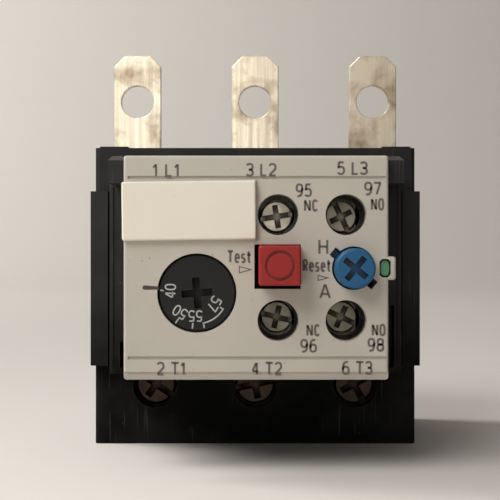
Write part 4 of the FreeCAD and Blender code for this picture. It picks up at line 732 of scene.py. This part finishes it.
class RELAY_OT_print_plate(bpy.types.Operator):
    """Print the terminal numbers, contact letters, button words and arrows on the front plate"""
    bl_idname = "relay.print_plate"
    bl_label = "Print front plate"

    def execute(self, context):
        look = context.scene.relay_print
        low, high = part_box("front_plate")
        corner = np.array([low.x, low.z])
        marks = Marks(low.y - look.lift, look.weight)
        for words, height in ((TERMINAL_WORDS, look.number_height), (CONTACT_WORDS, look.letter_height),
                              (BUTTON_WORDS, look.word_height), (MODE_LETTERS, look.mode_height)):
            for text, left, right, z in words:
                middle = corner + np.array([left + right, 2 * z]) * MM / 2
                marks.write(text, middle, (right - left) * MM, height)
        for back, tip, z, half in ARROWS:
            triangle = np.array([(back, z - half), (tip, z), (back, z + half)]) * MM
            marks.outline(corner + triangle, ARROW_LINE)
        marks.finish("plate_marks", ink("plate ink", look.ink), "root")
        self.print_pointer(look, low)
        return {"FINISHED"}

    def print_pointer(self, look, plate_low):
        """A tapered dash that ends at the dial: its width falls from the rounded outer end inwards."""
        low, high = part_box("setting_dial")
        pointer = Marks(plate_low.y - look.lift, look.weight)
        start = np.array([low.x - 3.35 * MM, (low.z + high.z) / 2 + 1.2 * MM])
        run = np.linspace(0.0, 1.0, 16)
        path = start + run[:, None] * (3.5 * MM, -0.12 * MM)
        width = np.interp(run, (0.0, 0.06, 0.16, 1.0), (0.4, 0.86, 0.96, 0.6)) * MM
        pointer.ribbon(path, width)
        pointer.finish("dial_pointer", ink("pointer ink", look.pointer), "root")


# Each number of the dial: the angle and radius of its middle, in mm, and how far it is turned
DIAL_NUMBERS = (("40", 175.4, 5.7, 88.0), ("50", 228.7, 5.45, 149.0), ("55", 266.5, 4.9, 180.0),
                ("57", -31.5, 4.37, 239.0))
DIAL_NUMBER_WIDTH = 3.05 * MM
# Each tick: its angle and the radii of its ends, in mm
DIAL_TICKS = ((175.7, 7.15, 7.9), (234.5, 6.7, 7.9), (262.5, 6.45, 7.65), (-78.0, 6.5, 7.6))


class RELAY_OT_print_dial(bpy.types.Operator):
    """Print the numbers, ticks and arc of the setting dial"""
    bl_idname = "relay.print_dial"
    bl_label = "Print dial"

    def execute(self, context):
        look = context.scene.relay_print
        low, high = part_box("setting_dial")
        centre = middle_of("setting_dial")
        marks = Marks(low.y - look.lift, look.dial_weight)
        for text, angle, radius, turn in DIAL_NUMBERS:
            spot = spoke(centre, angle, 0.0, radius * MM)[1]
            marks.write(text, spot, DIAL_NUMBER_WIDTH, look.dial_height, turn)
        for angle, near, far in DIAL_TICKS:
            marks.ribbon(spoke(centre, angle, near * MM, far * MM))
        marks.ribbon(arc(centre, 6.55 * MM, -79.5, -32.0))
        marks.ribbon(spoke(centre, -31.6, 5.8 * MM, 6.68 * MM))
        marks.finish("dial_marks", ink("dial ink", look.dial_ink), "dial")
        return {"FINISHED"}


class RELAY_OT_build_stage(bpy.types.Operator):
    """Set up the floor with its backdrop, the lights and the camera"""
    bl_idname = "relay.build_stage"
    bl_label = "Build stage"

    def execute(self, context):
        look = context.scene.relay_stage
        self.make_backdrop(look)
        self.make_sky(context, look)
        self.make_lights(look)
        self.make_camera(context, look)
        context.scene.view_settings.view_transform = "Standard"
        return {"FINISHED"}

    def make_backdrop(self, look):
        """A floor that bends up into a wall: flat, then a quarter circle, then straight up."""
        reach, bend, wall = 1.2, 0.6, 2.6
        turn = np.linspace(0.0, math.pi / 2, 24)
        y = np.concatenate(([-3.0], reach + bend * np.sin(turn), [reach + bend]))
        z = np.concatenate(([0.0], bend - bend * np.cos(turn), [wall]))
        x = np.linspace(-3.0, 3.0, 2)
        grid = np.stack([np.broadcast_to(part, (2, len(y))) for part in (x[:, None], y, z)], axis=-1)
        count = len(y)
        step = np.arange(count - 1)
        faces = np.stack((step, count + step, count + step + 1, step + 1), axis=1)
        mesh = bpy.data.meshes.new("backdrop")
        mesh.from_pydata(grid.reshape(-1, 3).tolist(), [], faces.tolist())
        mesh.shade_smooth()
        material, tree, shader = start_material("backdrop paper")
        mottle = tree.span(tree.noise(tree.place(), 3.0, 4.0), 0.3, 0.7, 0.0, 0.25)
        tree.link(tree.mix(mottle, look.floor, darker(look.floor, 0.94)), shader.inputs["Base Color"])
        shader.inputs["Roughness"].default_value = 0.9
        mesh.materials.append(material)
        backdrop = bpy.data.objects.new("backdrop", mesh)
        bpy.context.collection.objects.link(backdrop)

    def make_sky(self, context, look):
        """Surroundings that are pale towards the window and darker away from it, seen directly and
        in reflections; the same tones, weaker, give the even light."""
        world = bpy.data.worlds.new("studio")
        context.scene.world = world
        world.use_nodes = True
        tree = Tree(world.node_tree)
        tree.tree.nodes.clear()
        way = tree.node("ShaderNodeTexCoord").outputs["Generated"]
        window = tree.node("ShaderNodeVectorMath", operation="DOT_PRODUCT")
        tree.link(way, window.inputs[0])
        window.inputs[1].default_value = (-0.62, -0.30, 0.72)
        tone = tree.mix(tree.span(window.outputs["Value"], -0.35, 0.75), look.shade, look.floor)
        path = tree.node("ShaderNodeLightPath")
        seen = tree.maths("MAXIMUM", path.outputs["Is Camera Ray"], path.outputs["Is Glossy Ray"])
        seen = tree.maths("MAXIMUM", seen, path.outputs["Is Transmission Ray"])
        soft = tree.node("ShaderNodeBackground")
        tree.link(tone, soft.inputs["Color"])
        soft.inputs["Strength"].default_value = look.sky
        shown = tree.node("ShaderNodeBackground")
        tree.link(tone, shown.inputs["Color"])
        both = tree.node("ShaderNodeMixShader")
        tree.link(seen, both.inputs[0])
        tree.link(soft.outputs[0], both.inputs[1])
        tree.link(shown.outputs[0], both.inputs[2])
        output = tree.node("ShaderNodeOutputWorld")
        tree.link(both.outputs[0], output.inputs["Surface"])

    def make_lights(self, look):
        self.area("key light", look.key_power, (0.28, 0.28), (-0.20, -0.26, 0.34), (0.0, -0.03, 0.055))
        self.area("fill light", look.fill_power, (0.66, 0.34), (-0.27, -0.98, 0.19), (0.0, 0.0, 0.05))
        self.area("backdrop light", look.back_power, (0.9, 0.9), (-1.3, 0.4, 1.1), (0.0, 1.8, 0.3))

    def area(self, name, power, size, place, target):
        light = bpy.data.lights.new(name, "AREA")
        light.energy = power
        light.shape = "RECTANGLE"
        light.size, light.size_y = size
        light.color = (1.0, 0.985, 0.965)
        lamp = bpy.data.objects.new(name, light)
        lamp.location = place
        way = np.array(target) - np.array(place)
        lamp.rotation_euler = (math.atan2(math.hypot(way[0], way[1]), -way[2]), 0.0,
                               math.atan2(-way[0], way[1]))
        bpy.context.collection.objects.link(lamp)

    def make_camera(self, context, look):
        """A long lens square to the front plate, just left of its middle and a little above it."""
        low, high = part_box("front_plate")
        camera = bpy.data.cameras.new("camera")
        camera.sensor_width = 36.0
        camera.lens = camera.sensor_width * look.distance / look.view_width
        camera.clip_start = 0.01
        holder = bpy.data.objects.new("camera", camera)
        left_of_middle, above_middle = 2.08 * MM, 3.78 * MM
        holder.location = ((low.x + high.x) / 2 - left_of_middle, low.y - look.distance,
                           (low.z + high.z) / 2 + above_middle)
        holder.rotation_euler = (math.pi / 2, 0.0, 0.0)
        bpy.context.collection.objects.link(holder)
        context.scene.camera = holder


class RELAY_PT_panel(bpy.types.Panel):
    """The relay's settings and its steps"""
    bl_idname = "RELAY_PT_panel"
    bl_label = "Thermal Overload Relay"
    bl_space_type = "VIEW_3D"
    bl_region_type = "UI"
    bl_category = "Relay"

    def draw(self, context):
        for group in ("relay_mouldings", "relay_metals", "relay_print", "relay_stage"):
            settings = getattr(context.scene, group)
            box = self.layout.box()
            for name in settings.__annotations__:
                box.prop(settings, name)
        for operator in OPERATORS:
            self.layout.operator(operator.bl_idname)


SETTINGS = {"relay_mouldings": RelayMouldings, "relay_metals": RelayMetals,
            "relay_print": RelayPrint, "relay_stage": RelayStage}
OPERATORS = (RELAY_OT_finish_housings, RELAY_OT_finish_front, RELAY_OT_finish_controls,
             RELAY_OT_finish_metals, RELAY_OT_finish_mechanism, RELAY_OT_print_plate,
             RELAY_OT_print_dial, RELAY_OT_build_stage)


def register():
    for name, group in SETTINGS.items():
        bpy.utils.register_class(group)
        setattr(bpy.types.Scene, name, bpy.props.PointerProperty(type=group))
    for operator in OPERATORS:
        bpy.utils.register_class(operator)
    bpy.utils.register_class(RELAY_PT_panel)


def unregister():
    bpy.utils.unregister_class(RELAY_PT_panel)
    for operator in reversed(OPERATORS):
        bpy.utils.unregister_class(operator)
    for name, group in SETTINGS.items():
        delattr(bpy.types.Scene, name)
        bpy.utils.unregister_class(group)


def main():
    register()
    bpy.ops.relay.finish_housings()
    bpy.ops.relay.finish_front()
    bpy.ops.relay.finish_controls()
    bpy.ops.relay.finish_metals()
    bpy.ops.relay.finish_mechanism()
    bpy.ops.relay.print_plate()
    bpy.ops.relay.print_dial()
    bpy.ops.relay.build_stage()


if __name__ == "__main__":
    main()
